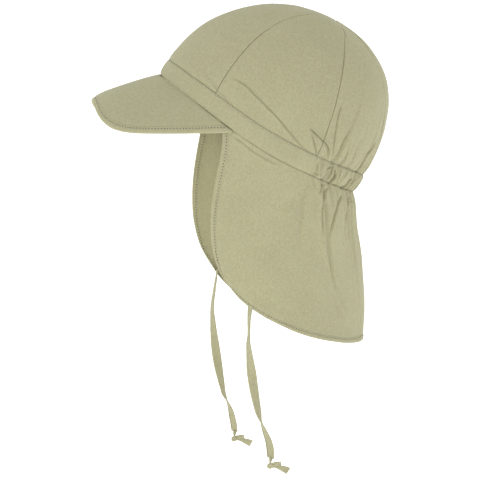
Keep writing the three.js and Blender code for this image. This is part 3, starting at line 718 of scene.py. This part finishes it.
def cotton(name, strength=1.0):
    """Matt plain-weave cotton: crossed threads on the piece's own UV map, a slightly uneven dye, and painted
    shade and highlight from the mesh.
    """
    if name in bpy.data.materials:
        return bpy.data.materials[name]
    finish = bpy.context.scene.cap_finish
    material = new_material(name, {
        "Roughness": finish.roughness,
        "Sheen Weight": 0.12,
        "Sheen Roughness": 0.6,
        "Sheen Tint": (0.9, 0.88, 0.75, 1),
        "Specular IOR Level": 0.25,
        "Subsurface Weight": finish.thinness,
        "Subsurface Radius": (1, 0.9, 0.6),
        "Subsurface Scale": 0.003,
    })
    threads = add_node(material, "UVMap", "UV", {}, uv_map="threads")
    weft, warp = (
        add_node(material, "TexWave", "Fac", {
            "Vector": threads, "Scale": 1 / (finish.weave * 20), "Distortion": 1.5, "Detail": 2,
            "Detail Scale": 1.2}, bands_direction=direction)
        for direction in ("X", "Y"))
    weave = add_node(material, "Math", 0, {0: weft, 1: warp}, operation="MULTIPLY")
    place = add_node(material, "TexCoord", "Object", {})
    slub = add_node(material, "TexNoise", "Fac", {
        "Vector": place, "Scale": 650, "Detail": 4, "Roughness": 0.7})
    dye = add_node(material, "TexNoise", "Fac", {"Vector": place, "Scale": 30, "Detail": 3})
    uneven = add_node(material, "Math", 0, {0: slub, 1: 5.0, 2: dye}, operation="MULTIPLY_ADD")
    spread = add_node(material, "MapRange", "Result", {"Value": uneven, "From Min": 1.9, "From Max": 4.1})
    dyed = add_ramp(material, spread, finish.cloth_deep, finish.cloth)
    # Painted shade in creases, seams and hems, read from the mesh and mixed into the colour
    crease = add_node(material, "Attribute", "Fac", {}, attribute_name="crease")
    deepened = add_node(material, "Mix", "Result", {
        "Factor": crease, "A": dyed, "B": (*finish.crease, 1)}, data_type="RGBA")
    # Where that painted shade is below 0, a painted highlight lightens the cloth along a raised fold
    raised = add_node(material, "Math", 0, {0: crease, 1: -1}, operation="MULTIPLY", use_clamp=True)
    painted_highlight = add_node(material, "Mix", "Result", {
        "Factor": raised, "A": deepened, "B": (*(1.3 * c for c in finish.cloth), 1)}, data_type="RGBA")
    height = add_node(material, "Math", 0, {0: weave, 1: 0.45, 2: slub}, operation="MULTIPLY_ADD")
    bump = add_node(material, "Bump", "Normal", {
        "Height": height, "Strength": 0.35 * strength, "Distance": 0.00025})
    wire(material, material.node_tree.nodes["Principled BSDF"], {"Base Color": painted_highlight, "Normal": bump})
    return material


def sewing_thread():
    """Spun cotton thread: paler than the cloth, with its twist as fine slanted bands."""
    name = "sewing_thread"
    if name in bpy.data.materials:
        return bpy.data.materials[name]
    thread = bpy.context.scene.cap_finish.thread
    material = new_material(name, {"Roughness": 0.75, "Sheen Weight": 0.2})
    place = add_node(material, "TexCoord", "Object", {})
    twist = add_node(material, "TexWave", "Fac", {
        "Vector": place, "Scale": 300, "Distortion": 2}, bands_direction="DIAGONAL")
    spun = add_ramp(material, twist, (0.78 * c for c in thread), thread)
    bump = add_node(material, "Bump", "Normal", {"Height": twist, "Strength": 0.4, "Distance": 0.0001})
    wire(material, material.node_tree.nodes["Principled BSDF"], {"Base Color": spun, "Normal": bump})
    return material


def needle_hole():
    """A dark colour painted as the shade in the hole that the needle leaves between two stitches."""
    name = "needle_hole"
    if name in bpy.data.materials:
        return bpy.data.materials[name]
    colour = (*bpy.context.scene.cap_finish.needle_hole, 1)
    return new_material(name, {"Roughness": 1.0, "Specular IOR Level": 0.0, "Base Color": colour})


def floor_paint():
    stage = bpy.context.scene.cap_stage
    colour = (*stage.floor, 1)
    return new_material("floor_paint", {
        "Roughness": 0.9, "Specular IOR Level": 0.0, "Base Color": colour, "Emission Color": colour,
        "Emission Strength": stage.floor_glow})


# ---- stitching


# Length of a stitch as a share of the pitch, its thickness, how much wider it is, and the dark bead of
# painted shade in the needle's hole
STITCH_SHARE = 0.6
STITCH_RADIUS = 0.00026
STITCH_FLATTENING = 1.25
HOLE_SHADE_SIZE = (0.00052, 0.00044, 0.00016)


def bead(mesh, centre, way, facing, size, slot):
    """A small flattened bead along a direction, on a face that looks another way."""
    x = way.normalized()
    z = (facing - x * facing.dot(x)).normalized()
    turn = Matrix((x, z.cross(x), z)).transposed().to_4x4()
    matrix = Matrix.Translation(centre) @ turn @ Matrix.Diagonal((*size, 1))
    made = bmesh.ops.create_icosphere(mesh, subdivisions=1, radius=1, matrix=matrix)
    for face in {face for vert in made["verts"] for face in vert.link_faces}:
        face.material_index = slot
        face.smooth = True


def stitch_row(mesh, points, normals, pitch, weight):
    """A row of stitches along a line on a cloth, with a dark bead between each two, painted as the shade in
    the needle's hole.
    """
    points = np.asarray(points, float)
    run = run_of(points)

    def read(field, place):
        return Vector([np.interp(place, run, field[:, axis]) for axis in range(3)])

    for k in range(int(run[-1] / pitch)):
        start, middle, end = (k + share for share in (0.5 - STITCH_SHARE / 2, 0.5, 0.5 + STITCH_SHARE / 2))
        way = read(points, end * pitch) - read(points, start * pitch)
        facing = read(normals, middle * pitch)
        size = (way.length / 2, STITCH_RADIUS * STITCH_FLATTENING * weight, STITCH_RADIUS * weight)
        bead(mesh, read(points, middle * pitch), way, facing, size, 0)
        # A dark bead of painted shade where the needle's hole is
        hole_shade = [weight * extent for extent in HOLE_SHADE_SIZE]
        bead(mesh, read(points, k * pitch), way, read(normals, k * pitch), hole_shade, 1)


def row_line(cloth, inset, side):
    """Line on a cloth's outer skin at a distance from one of its sides, and the normals there."""
    fields = [getattr(cloth, side), cloth.shifted(), cloth.normals]
    if side in ("low", "high"):
        fields = [field.swapaxes(0, 1) for field in fields]
    points, normals = [], []
    for distance, skin, facing in zip(*fields):
        order = np.argsort(distance)
        for line, field in ((points, skin[order]), (normals, facing[order])):
            line.append([np.interp(inset, distance[order], field[:, axis]) for axis in range(3)])
    return np.array(points), np.array(normals)


def thread_piece(name, rows, pitch, weight=1.0):
    """One piece from several rows of stitches: each row is a line and its normals."""
    mesh = bmesh.new()
    for points, normals in rows:
        stitch_row(mesh, points, normals, pitch, weight)
    piece = finished(name, mesh)
    piece.data.materials.append(sewing_thread())
    piece.data.materials.append(needle_hole())
    return piece


# ---- pieces


# Sewn lines: depth and width of the groove, and reach, length and height of the ripples beside it
PUCKER_DEPTH = 0.00032
PUCKER_WIDTH = 0.0007
RIPPLE_REACH = 0.0028
RIPPLE_LENGTH = 0.0075
RIPPLE_HEIGHT = 0.00010


def puckered(cloth, distance, inset, seed):
    """A sewn line: the cloth is drawn in along it, and ripples a little on both sides."""
    groove = PUCKER_DEPTH * np.exp(-(((distance - inset) / PUCKER_WIDTH) ** 2))
    near = np.exp(-(((distance - inset) / RIPPLE_REACH) ** 2))
    return -groove + near * softness(cloth.points, RIPPLE_LENGTH, RIPPLE_HEIGHT, seed)


# Reach of the painted shade in a seam, the place of the line where a hem ends and the reach of the shade
# painted along it, the step between the columns and rows of a crown panel, and the length that its rows are
# spread over
SEAM_SHADE = 0.0004
HEM_FOLD = 0.0060
HEM_FOLD_SHADE = 0.0004
CROWN_STEP = 0.0011
CROWN_ROW_LENGTH = 0.140


# Depth of the shade painted at each seam and hem, and of the roll at the seams of the crown
BAND_TOP_SHADE = 0.05
BAND_FOOT_SHADE = 0.3
PEAK_SEAM_SHADE = 0.45
PEAK_HEM_SHADE = 0.3
FLAP_SEAM_SHADE = 0.25
FLAP_HEM_SHADE = 0.25
CROWN_SEAM_DEPTH = 0.0002
CROWN_FOOT_DEPTH = 0.0001

# The shade painted in the crown's seams is deeper at the back: by how much, from which angle, and up to which
# climb
BACK_SHADE = 6
BACK_SHADE_ANGLE = 138
BACK_SHADE_BLEND = 12
BACK_SHADE_CLIMB = 40

# How far from its seam or hem the cloth is held still, and the reach of the swell inside a hem
CROWN_STILL = 0.01
BAND_STILL = 0.0025
PEAK_STILL = 0.02
FLAP_STILL = 0.01
HEM_SWELL_REACH = 0.0016


def seam_roll(distance, reach=0.0009, depth=0.0003):
    """The turned-in edge of a panel at a seam."""
    return -depth * np.exp(-distance / reach * 2)


# Painted shade in a seam, fading with the distance from it
def seam_shade(distance, strength=0.09):
    return strength * np.exp(-distance / SEAM_SHADE)


def hem_swell(hem, height):
    """The folded cloth inside a hem, which stands up between the edge and the topstitching."""
    return height * np.exp(-(((hem - sizes().stitch_inset / 2) / HEM_SWELL_REACH) ** 2))


# Painted shade along the line where the cloth folded into a hem ends
def hem_shade(hem, strength):
    return strength * np.exp(-((hem - HEM_FOLD) / HEM_FOLD_SHADE) ** 2)


def crown_cloth(first_seam, second_seam, seed, columns=(), rows=()):
    """A crown panel, with its zones of finer columns and rows."""
    s = sizes()

    def surface(u, v):
        climb = v * CROWN_TOP_ANGLE
        start, end = first_seam(climb), second_seam(climb)
        middle = dome_point((start + end) / 2, climb)
        radius = np.hypot(middle[..., 0], middle[..., 1] - APEX_SETBACK)
        inset = np.degrees(SEAM_GAP / 2 / radius)
        return tipped(dome_point(start + inset + (end - start - 2 * inset) * u, climb))

    breadth = math.radians(second_seam(0) - first_seam(0)) * (s.half_length + s.half_breadth) / 2
    shares = graded(CROWN_ROW_LENGTH, CROWN_STEP, *rows)
    cloth = Cloth(surface, graded(breadth, CROWN_STEP, *columns), even_rows(surface, 0.5, shares))
    climb = cloth.v * CROWN_TOP_ANGLE
    start, end = first_seam(climb), second_seam(climb)
    angle = start + (end - start) * cloth.u
    cloth.meet_band(angle, cloth.low)
    foot = tipped(band_point(angle, s.band_height + SEAM_GAP))
    up = tipped(np.array([0.0, 0.0, 1.0]))
    height = np.maximum(0, (cloth.points - foot) @ up)
    height = np.where(climb < 60, height, cloth.warp)

    def fade(k):
        return np.exp(-((height / (GATHERS["up"][k] * s.crown_height)) ** FOLD_FADE_POWER))

    share = height / CROWN_OVERHANG_HEIGHT
    behind = ease((half_angle(angle) - ELASTIC_START) / CROWN_OVERHANG_BLEND)
    cloth.relief = gathered(angle, fade) + CROWN_OVERHANG * behind * share * np.exp(1 - share)
    seam = np.minimum(cloth.left, cloth.right)
    cloth.relief += seam_roll(seam, depth=CROWN_SEAM_DEPTH) + seam_roll(cloth.low, depth=CROWN_FOOT_DEPTH)
    # Painted shade in the seams, unevenly deep along them and deeper low at the back, and at the foot
    uneven = np.clip(0.9 + softness(cloth.points, *SOFT["seam"], seed + 2), 0.3, 2)
    behind = ease((half_angle(angle) - BACK_SHADE_ANGLE) / BACK_SHADE_BLEND)
    uneven += BACK_SHADE * behind * np.exp(-climb / BACK_SHADE_CLIMB)
    cloth.shade = np.maximum(seam_shade(seam) * uneven, seam_shade(cloth.low, BAND_TOP_SHADE))
    calm = ease(cloth.low / CROWN_STILL)
    cloth.relief += calm * softness(cloth.points, *SOFT["crown"], seed)
    cloth.relief += calm * softness(cloth.points, *SOFT["crown, fine"], seed + 1)
    add_creases(cloth)
    return cloth


def crown_piece(name, *plan):
    cloth = crown_cloth(*plan)
    piece = cloth_mesh(name, cloth, sizes().cloth_wall)
    piece.data.materials.append(cotton("crown_cotton"))
    return piece


BAND_STITCH_INSET = 0.0007
BAND_STITCH_WEIGHT = 0.62


def band_cloth():
    s = sizes()

    def surface(u, v):
        return tipped(band_point(u * 360, v * s.band_height))

    around = math.pi * (s.half_length + s.half_breadth)
    left, right = (around * turn / 360 for turn in (ELASTIC_START - 6, 360 - ELASTIC_START + 6))
    columns = graded(around, 0.0013, (left, around / 2, 0.00038), (around / 2, right, 0.0008))
    cloth = Cloth(surface, columns, graded(s.band_height, 0.00045), ring=True)
    angle = cloth.u * 360
    cloth.meet_band(angle, np.zeros_like(angle))
    place = half_angle(angle)
    elastic = ease((place - ELASTIC_START) / ELASTIC_BLEND)
    puff = BAND_PUFF * (0.4 + 0.6 * elastic)
    cloth.relief = puff * (1 - (2 * cloth.v - 1) ** 2) + gathered(angle, lambda k: 1.0)
    sewn = ease(cloth.low / BAND_STILL)
    cloth.relief += puckered(cloth, cloth.high, BAND_STITCH_INSET, 5)
    cloth.relief += puckered(cloth, cloth.low, BAND_STITCH_INSET, 6) * elastic * sewn
    cloth.relief += seam_roll(cloth.low) + sewn * softness(cloth.points, *SOFT["headband"], 7)
    cloth.relief += sewn * elastic * softness(cloth.points * ELASTIC_STRETCH, *SOFT["elastic"], 8)
    cloth.shade = np.maximum(
        seam_shade(cloth.high, BAND_TOP_SHADE), seam_shade(cloth.low, BAND_FOOT_SHADE))
    add_creases(cloth)
    return cloth


def peak_rim(share):
    s = sizes()
    corner = tipped(band_point(np.array(PEAK_CORNER), -SEAM_GAP))
    front = tipped(band_point(np.array(0.0), -SEAM_GAP))
    depth = corner[1] - front[1] + s.peak_reach
    turn = np.radians(share * 90)
    across = np.abs(np.sin(turn)) / corner[0]
    ahead = np.abs(np.cos(turn)) / depth
    radius = (across ** PEAK_SQUARENESS + ahead ** PEAK_SQUARENESS) ** (-1 / PEAK_SQUARENESS)
    x = radius * np.sin(turn)
    along = np.clip(np.abs(x) / PEAK_ARCH_HALF_WIDTH, 0, 1) ** PEAK_ARCH_POINT
    lift = PEAK_ARCH * (0.5 + 0.5 * np.cos(math.pi * along))
    return np.stack([x, corner[1] - radius * np.cos(turn), corner[2] - PEAK_END + lift], -1)


def peak_cloth():
    s = sizes()

    def surface(u, v):
        share = 2 * u - 1
        seam = tipped(band_point(PEAK_CORNER * share, -SEAM_GAP))
        rim = peak_rim(share)
        depth = np.linalg.norm(seam - rim, axis=-1)
        bow = PEAK_BOW * depth / s.peak_reach * 4 * v * (1 - v)
        roll = PEAK_ROLL * (1 - v) * (1 - np.exp(-depth * v / PEAK_ROLL_REACH))
        point = rim + (seam - rim) * v[..., None]
        point[..., 2] += bow + roll
        return point

    rim_zone = (0.003, 0.0065, 0.00035)
    rows = graded(s.peak_reach, 0.0011, rim_zone)
    cloth = Cloth(surface, np.linspace(0, 1, 260), rows, free=("low",))
    hem = cloth.low
    rim = np.minimum(cloth.low, np.minimum(cloth.left, cloth.right) + 0.002)
    cloth.relief = puckered(cloth, hem, s.stitch_inset, 11)
    cloth.relief += hem_swell(hem, 0.00035)
    cloth.relief += 0.00012 * ease((hem - s.stitch_inset) / 0.003) + seam_roll(cloth.high, 0.0015, 0.0008)
    cloth.relief += ease(rim / PEAK_STILL) * softness(cloth.points, *SOFT["peak"], 12)
    cloth.shade = np.maximum(seam_shade(cloth.high, PEAK_SEAM_SHADE), hem_shade(hem, PEAK_HEM_SHADE))
    return cloth


def hem_point(place):
    s = sizes()
    return np.stack([
        through(FLAP_HEM, "angle", "out")(place) * s.half_breadth,
        through(FLAP_HEM, "angle", "behind")(place) * s.half_length,
        -through(FLAP_HEM, "angle", "drop")(place) * s.flap_drop,
    ], -1)


def flap_top(place):
    tuck = PEAK_WALL + 2 * SEAM_GAP
    covered = 1 - ease((place - FLAP_TUCK_START) / (FLAP_TUCK_END - FLAP_TUCK_START))
    return tipped(band_point(place, FLAP_LAP, -tuck * covered))


def flap_half(place, down):
    """The flap without its folds, on the left half: the angle of the column, and down 0 to 1."""
    s = sizes()
    across = (place - FLAP_CORNER) / (180 - FLAP_CORNER)
    spread = down ** FLAP_SWING
    top, hem = flap_top(place), hem_point(place)
    corners = [flap_top(np.array(float(FLAP_CORNER))), flap_top(np.array(180.0)),
               hem_point(np.array(float(FLAP_CORNER))), hem_point(np.array(180.0))]
    shifts = (-through(FLAP_FRONT_EDGE, "down", "ahead")(down) * s.half_length,
              through(FLAP_BACK_LINE, "down", "behind")(down) * s.half_length)

    def patch(axis, share, front_shift, back_shift):
        lengthwise = top[..., axis] + (hem[..., axis] - top[..., axis]) * share
        front, back = (
            corners[k][axis] + (corners[k + 2][axis] - corners[k][axis]) * down + shift
            for k, shift in ((0, front_shift), (1, back_shift)))
        corner_front, corner_back = (
            corners[k][axis] + (corners[k + 2][axis] - corners[k][axis]) * share for k in (0, 1))
        return lengthwise + (front - corner_front) * (1 - across) + (back - corner_back) * across

    return np.stack([
        patch(0, spread, 0, 0), patch(1, spread, *shifts), patch(2, down, 0, 0)], -1)


def flap_surface(angle, down):
    place = half_angle(angle)
    point = flap_half(place, down)
    off = (place - RIGHT_SIDE_DROP_ANGLE) / RIGHT_SIDE_DROP_SPREAD
    right = angle > 180
    point[..., 0] = np.where(right, -point[..., 0], point[..., 0])
    point[..., 2] -= np.where(right, RIGHT_SIDE_DROP * down * down * np.exp(-off * off), 0)
    lead = RIGHT_SIDE_LEAD * ease(down / 0.15) * (1 - down) * np.exp(-(((place - FLAP_CORNER) / 15) ** 2))
    point[..., 1] -= np.where(right, lead, 0)
    return point


def flap_cloth():
    s = sizes()
    span = 360 - 2 * FLAP_CORNER

    def surface(u, v):
        return flap_surface(FLAP_CORNER + span * u, 1 - v)

    around = math.radians(span) * (s.half_length + s.half_breadth) / 2
    hem_zone = (0.003, 0.0070, 0.0005)
    gathers = ((0, 40 / span * around, 0.0013), (40 / span * around, around / 2, 0.0008))
    columns = graded(around, 0.0018, hem_zone, (around - 0.0070, around - 0.003, 0.0005), *gathers)
    rows = graded(0.16, 0.0015, hem_zone, (0.105, 0.16, 0.0010))
    cloth = Cloth(surface, columns, even_rows(surface, 0.25, rows), free=("low", "left", "right"))
    angle = FLAP_CORNER + span * cloth.u
    cloth.meet_band(angle, cloth.high)
    down = 1 - cloth.v

    def fade(k):
        return np.exp(-((down / GATHERS["down"][k]) ** 2))

    cloth.relief = gathered(angle, fade)
    hem = np.minimum(cloth.low, np.minimum(cloth.left, cloth.right))
    cloth.relief += puckered(cloth, hem, s.stitch_inset, 21) + seam_roll(cloth.high)
    cloth.relief += hem_swell(hem, 0.0003)
    cloth.relief -= 0.00022 * np.exp(-(((hem - HEM_FOLD) / 0.0005) ** 2))
    free = ease(down / 0.25) * ease(hem / FLAP_STILL)
    cloth.relief += free * softness(cloth.points * FLAP_STRETCH, *SOFT["flap"], 22)
    cloth.relief += free * softness(cloth.points, *SOFT["flap, fine"], 23)
    cloth.shade = np.maximum(seam_shade(cloth.high, FLAP_SEAM_SHADE), hem_shade(hem, FLAP_HEM_SHADE))
    add_creases(cloth)
    return cloth


# ---- ties


TAPE_COLUMNS = 17
TIE_ROWS = 190
KNOT_ROWS = 60

# Sewn edge of the tape: place, depth and width of its groove, and its pitch as a share of the usual one
TAPE_INSET = 0.0012
TAPE_GROOVE = 0.00022
TAPE_GROOVE_WIDTH = 0.0004
TAPE_PITCH = 0.85

# The three ribbons of a knot: middle line from the knot's top, width, and turn in degrees
KNOT_TOP = (0, 0.0004, -0.0003)
KNOT = {
    "lead": (
        (0, 0, 0.0010, 0.0062, 8),
        (0.0006, -0.0006, -0.0022, 0.0064, 10),
        (0.0012, -0.0006, -0.0052, 0.0066, 14),
        (0.0004, 0.0012, -0.0066, 0.0050, 20),
    ),
    "wrap": (
        (0.0016, -0.0030, -0.0068, 0.0026, 10),
        (0.0024, -0.0004, -0.0052, 0.0042, 14),
        (0.0022, 0.0040, -0.0040, 0.0046, 24),
        (0.0004, 0.0070, -0.0048, 0.0036, 30),
        (-0.0016, 0.0050, -0.0062, 0.0042, 24),
        (-0.0018, 0.0004, -0.0066, 0.0044, 14),
        (-0.0006, -0.0030, -0.0066, 0.0026, 10),
    ),
    "tail": (
        (0, 0.0024, -0.0062, 0.0030, 0),
        (0.0002, 0.0052, -0.0072, 0.0032, 4),
        (0.0002, 0.0080, -0.0083, 0.0044, 8),
        (0, 0.0110, -0.0096, 0.0058, 12),
        (0, 0.0140, -0.0111, 0.0068, 16),
    ),
}


def tape_cloth(line, widths, turns, across, count):
    """A tape along a line. Its flat side is turned from a direction across it towards the x axis."""
    at, read = curve_through(line, width=widths, turn=turns)

    def surface(u, v):
        tangent = tangent_of(at, v)
        turn = np.radians(read("turn", v))[..., None]
        side = np.sin(turn) * (1, 0, 0) + np.cos(turn) * across
        flat = unit(side - tangent * (side * tangent).sum(-1, keepdims=True))
        return at(v) + flat * ((u - 0.5) * read("width", v))[..., None]

    rows = np.linspace(0, 1, count)
    return Cloth(surface, np.linspace(0, 1, TAPE_COLUMNS), rows, free=("left", "right"))


def tie_piece(side, rows):
    s = sizes()
    rows = np.array(rows, float)
    widths = np.full(len(rows), s.tape_width)
    cloth = tape_cloth(rows[:, :3], widths, rows[:, 3], (0, 1, 0), TIE_ROWS)
    groove = -TAPE_GROOVE * np.exp(-(((cloth.right - TAPE_INSET) / TAPE_GROOVE_WIDTH) ** 2))
    cloth.relief = s.tape_wall / 2 + groove + softness(cloth.points, *SOFT["tape"], 31)
    piece = cloth_mesh("tie_tape_" + side, cloth, s.tape_wall)
    piece.data.materials.append(cotton("tape_cotton", 0.8))
    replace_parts(piece, "tie_" + side)
    line = row_line(cloth, TAPE_INSET, "right")
    stitches = thread_piece("tie_stitches_" + side, [line], s.stitch_pitch * TAPE_PITCH)
    return piece, stitches


def knot_piece(side, rows):
    """Overhand knot near the end of a tie: wrapped turns of the tape, and the flared tail behind them."""
    wall = sizes().tape_wall
    top = np.array(rows[-1][:3]) + KNOT_TOP
    made = []
    for part, table in KNOT.items():
        table = np.array(table)
        cloth = tape_cloth(top + table[:, :3], table[:, 3], table[:, 4], (0, 0, 1), KNOT_ROWS)
        cloth.relief = cloth.relief + wall / 2 + softness(cloth.points, *SOFT["knot"], 41)
        piece = cloth_mesh(f"knot_{part}_{side}", cloth, wall)
        piece.data.materials.append(cotton("tape_cotton", 0.8))
        made.append(piece)
    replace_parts(made[0], "tie_knot_" + side)
    return made


class CAP_OT_ties(bpy.types.Operator):
    """Both ties: sewn tape that hangs from the flap's hem to a knot with a tail"""
    bl_idname = "cap.ties"
    bl_label = "Ties and knots"

    def execute(self, context):
        for side, rows in (("left", LEFT_TIE), ("right", RIGHT_TIE)):
            tape, stitches = tie_piece(side, rows)
            knot = knot_piece(side, rows)
            path = curve_through(np.array(rows)[:, :3])[0](np.linspace(0, 1, 60))
            tuple(path[0])
        return {"FINISHED"}


class CAP_OT_crown(bpy.types.Operator):
    """The five panels of the crown"""
    bl_idname = "cap.crown"
    bl_label = "Crown panels"

    def execute(self, context):
        front, rear, back = (seam_line(seam) for seam in (FRONT_SEAM, REAR_SEAM, BACK_SEAM))
        low_rows = ((0, 0.055, 0.0004),)
        panels = (
            ("front_panel", mirrored(front, 0), front, 50),
            ("side_panel_left", front, rear, 52, ((0.036, 0.09, 0.0004),), low_rows),
            ("back_panel_left", rear, back, 54, ((0, 0.08, 0.0004),), low_rows),
            ("back_panel_right", back, mirrored(rear, 360), 56),
            ("side_panel_right", mirrored(rear, 360), mirrored(front, 360), 58),
        )
        for name, *plan in panels:
            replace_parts(crown_piece("cloth_" + name, *plan), "crown_" + name)
        return {"FINISHED"}


class CAP_OT_headband(bpy.types.Operator):
    """The headband, gathered along its elastic, with its topstitching"""
    bl_idname = "cap.headband"
    bl_label = "Headband"

    def execute(self, context):
        s = sizes()
        cloth = band_cloth()
        piece = cloth_mesh("band_cloth", cloth, s.band_wall)
        piece.data.materials.append(cotton("band_cotton"))
        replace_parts(piece, "headband")
        top = row_line(cloth, BAND_STITCH_INSET, "high")
        foot = row_line(cloth, BAND_STITCH_INSET, "low")
        keep = half_angle(360 * cloth.columns) > ELASTIC_START
        rows = [top, [field[keep] for field in foot]]
        thread_piece("band_stitches", rows, s.stitch_pitch, BAND_STITCH_WEIGHT)
        return {"FINISHED"}


class CAP_OT_peak(bpy.types.Operator):
    """The stiffened peak with its rim topstitched"""
    bl_idname = "cap.peak"
    bl_label = "Peak"

    def execute(self, context):
        s = sizes()
        cloth = peak_cloth()
        piece = cloth_mesh("peak_cloth", cloth, PEAK_WALL)
        piece.data.materials.append(cotton("peak_cotton"))
        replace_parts(piece, "peak")
        line, normals = row_line(cloth, s.stitch_inset, "low")
        thread_piece("peak_stitches", [(line[4:-4], normals[4:-4])], s.stitch_pitch)
        return {"FINISHED"}


class CAP_OT_neck_flap(bpy.types.Operator):
    """The neck flap with its folds and its topstitched hem"""
    bl_idname = "cap.neck_flap"
    bl_label = "Neck flap"

    def execute(self, context):
        s = sizes()
        cloth = flap_cloth()
        piece = cloth_mesh("flap_cloth", cloth, s.cloth_wall)
        piece.data.materials.append(cotton("flap_cotton"))
        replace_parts(piece, "neck_flap")
        stitches = thread_piece("flap_stitches", self.rows(cloth, s.stitch_inset), s.stitch_pitch)
        return {"FINISHED"}

    def rows(self, cloth, inset):
        """One line of stitches down the left edge, along the hem and up the right edge, on both faces."""
        sides = [row_line(cloth, inset, side) for side in ("left", "low", "right")]
        keep_rows = cloth.low[:, 0] > inset * 1.6
        keep_columns = (cloth.left[0] > inset * 1.6) & (cloth.right[0] > inset * 1.6)
        (left, hem, right) = (np.stack(side) for side in sides)
        points, normals = np.concatenate(
            [left[:, keep_rows][:, ::-1], hem[:, keep_columns], right[:, keep_rows]], 1)
        return [(points, normals), (points - normals * sizes().cloth_wall, -normals)]


# What the camera and the large lights aim at, the focal length, and the place of each light, from that
# aim for the large ones and from the origin for the small one, with the side of its square
AIM = (0.0144, -0.0149, -0.0833)
FOCAL_LENGTH = 150
KEY_LIGHT = (1.5, -0.40, 0.60)
KEY_SIZE = 1.0
FILL_LIGHT = (1.0, -1.3, -0.12)
FILL_SIZE = 0.9
NECK_LIGHT = (0.030, 0.012, -0.055)
NECK_SIZE = 0.06
FLOOR_HALF_SIZE = 40


class CAP_OT_stage(bpy.types.Operator):
    """The camera, the floor and the soft light"""
    bl_idname = "cap.stage"
    bl_label = "Stage"

    def execute(self, context):
        scene = context.scene
        stage = scene.cap_stage
        target = Vector(AIM)
        a, e = stage.azimuth, stage.elevation
        back = Vector((math.sin(a) * math.cos(e), -math.cos(a) * math.cos(e), math.sin(e)))
        right = Vector((math.cos(a), math.sin(a), 0))
        up = back.cross(right)
        lens = bpy.data.cameras.new("camera")
        lens.lens = FOCAL_LENGTH
        lens.clip_end = 100
        camera = bpy.data.objects.new("camera", lens)
        scene.collection.objects.link(camera)
        turn = Matrix((right, up, back)).transposed().to_4x4()
        camera.matrix_world = Matrix.Translation(target + back * stage.distance) @ turn
        scene.camera = camera
        scene.view_settings.view_transform = "Standard"

        world = bpy.data.worlds.new("studio")
        scene.world = world
        world.use_nodes = True
        background = world.node_tree.nodes["Background"]
        background.inputs["Color"].default_value = (1, 1, 1, 1)
        background.inputs["Strength"].default_value = stage.sky

        self.light("main_light", target + Vector(KEY_LIGHT), target, KEY_SIZE, stage.key_power)
        self.light("fill_light", target + Vector(FILL_LIGHT), target, FILL_SIZE, stage.fill_power)
        neck = Vector(NECK_LIGHT)
        inner = self.light("neck_light", neck, neck - Vector((1, 0, 0)), NECK_SIZE, stage.neck_power)
        inner.visible_camera = False

        mesh = bmesh.new()
        bmesh.ops.create_grid(mesh, x_segments=1, y_segments=1, size=FLOOR_HALF_SIZE)
        bmesh.ops.translate(mesh, verts=mesh.verts, vec=(0, 0, CAD_BOX[0][2] - stage.floor_drop))
        data = bpy.data.meshes.new("floor")
        mesh.to_mesh(data)
        mesh.free()
        floor = bpy.data.objects.new("floor", data)
        floor.data.materials.append(floor_paint())
        scene.collection.objects.link(floor)
        return {"FINISHED"}

    def light(self, name, place, target, size, power):
        data = bpy.data.lights.new(name, "AREA")
        data.size = size
        data.energy = power
        lamp = bpy.data.objects.new(name, data)
        lamp.rotation_euler = (target - place).to_track_quat("-Z", "Y").to_euler()
        lamp.location = place
        bpy.context.scene.collection.objects.link(lamp)
        return lamp


class CAP_PT_panel(bpy.types.Panel):
    """Sizes, finish and builders of the cap"""
    bl_idname = "CAP_PT_panel"
    bl_label = "Legionnaire cap"
    bl_space_type = "VIEW_3D"
    bl_region_type = "UI"
    bl_category = "Cap"

    def draw(self, context):
        scene = context.scene
        for group in (scene.cap_sizes, scene.cap_finish, scene.cap_stage):
            box = self.layout.box()
            for key in group.__annotations__:
                box.prop(group, key)
        for operator in OPERATORS:
            self.layout.operator(operator.bl_idname)


GROUPS = {"cap_sizes": CapSizes, "cap_finish": CapFinish, "cap_stage": CapStage}
OPERATORS = (CAP_OT_stage, CAP_OT_ties, CAP_OT_crown, CAP_OT_headband, CAP_OT_peak, CAP_OT_neck_flap)


def register():
    for cls in (*GROUPS.values(), *OPERATORS, CAP_PT_panel):
        bpy.utils.register_class(cls)
    for name, group in GROUPS.items():
        setattr(bpy.types.Scene, name, bpy.props.PointerProperty(type=group))


def unregister():
    for name in GROUPS:
        delattr(bpy.types.Scene, name)
    for cls in (CAP_PT_panel, *reversed(OPERATORS), *reversed(list(GROUPS.values()))):
        bpy.utils.unregister_class(cls)


def main():
    register()
    bpy.ops.cap.stage()
    bpy.ops.cap.ties()
    bpy.ops.cap.crown()
    bpy.ops.cap.headband()
    bpy.ops.cap.peak()
    bpy.ops.cap.neck_flap()


if __name__ == "__main__":
    main()
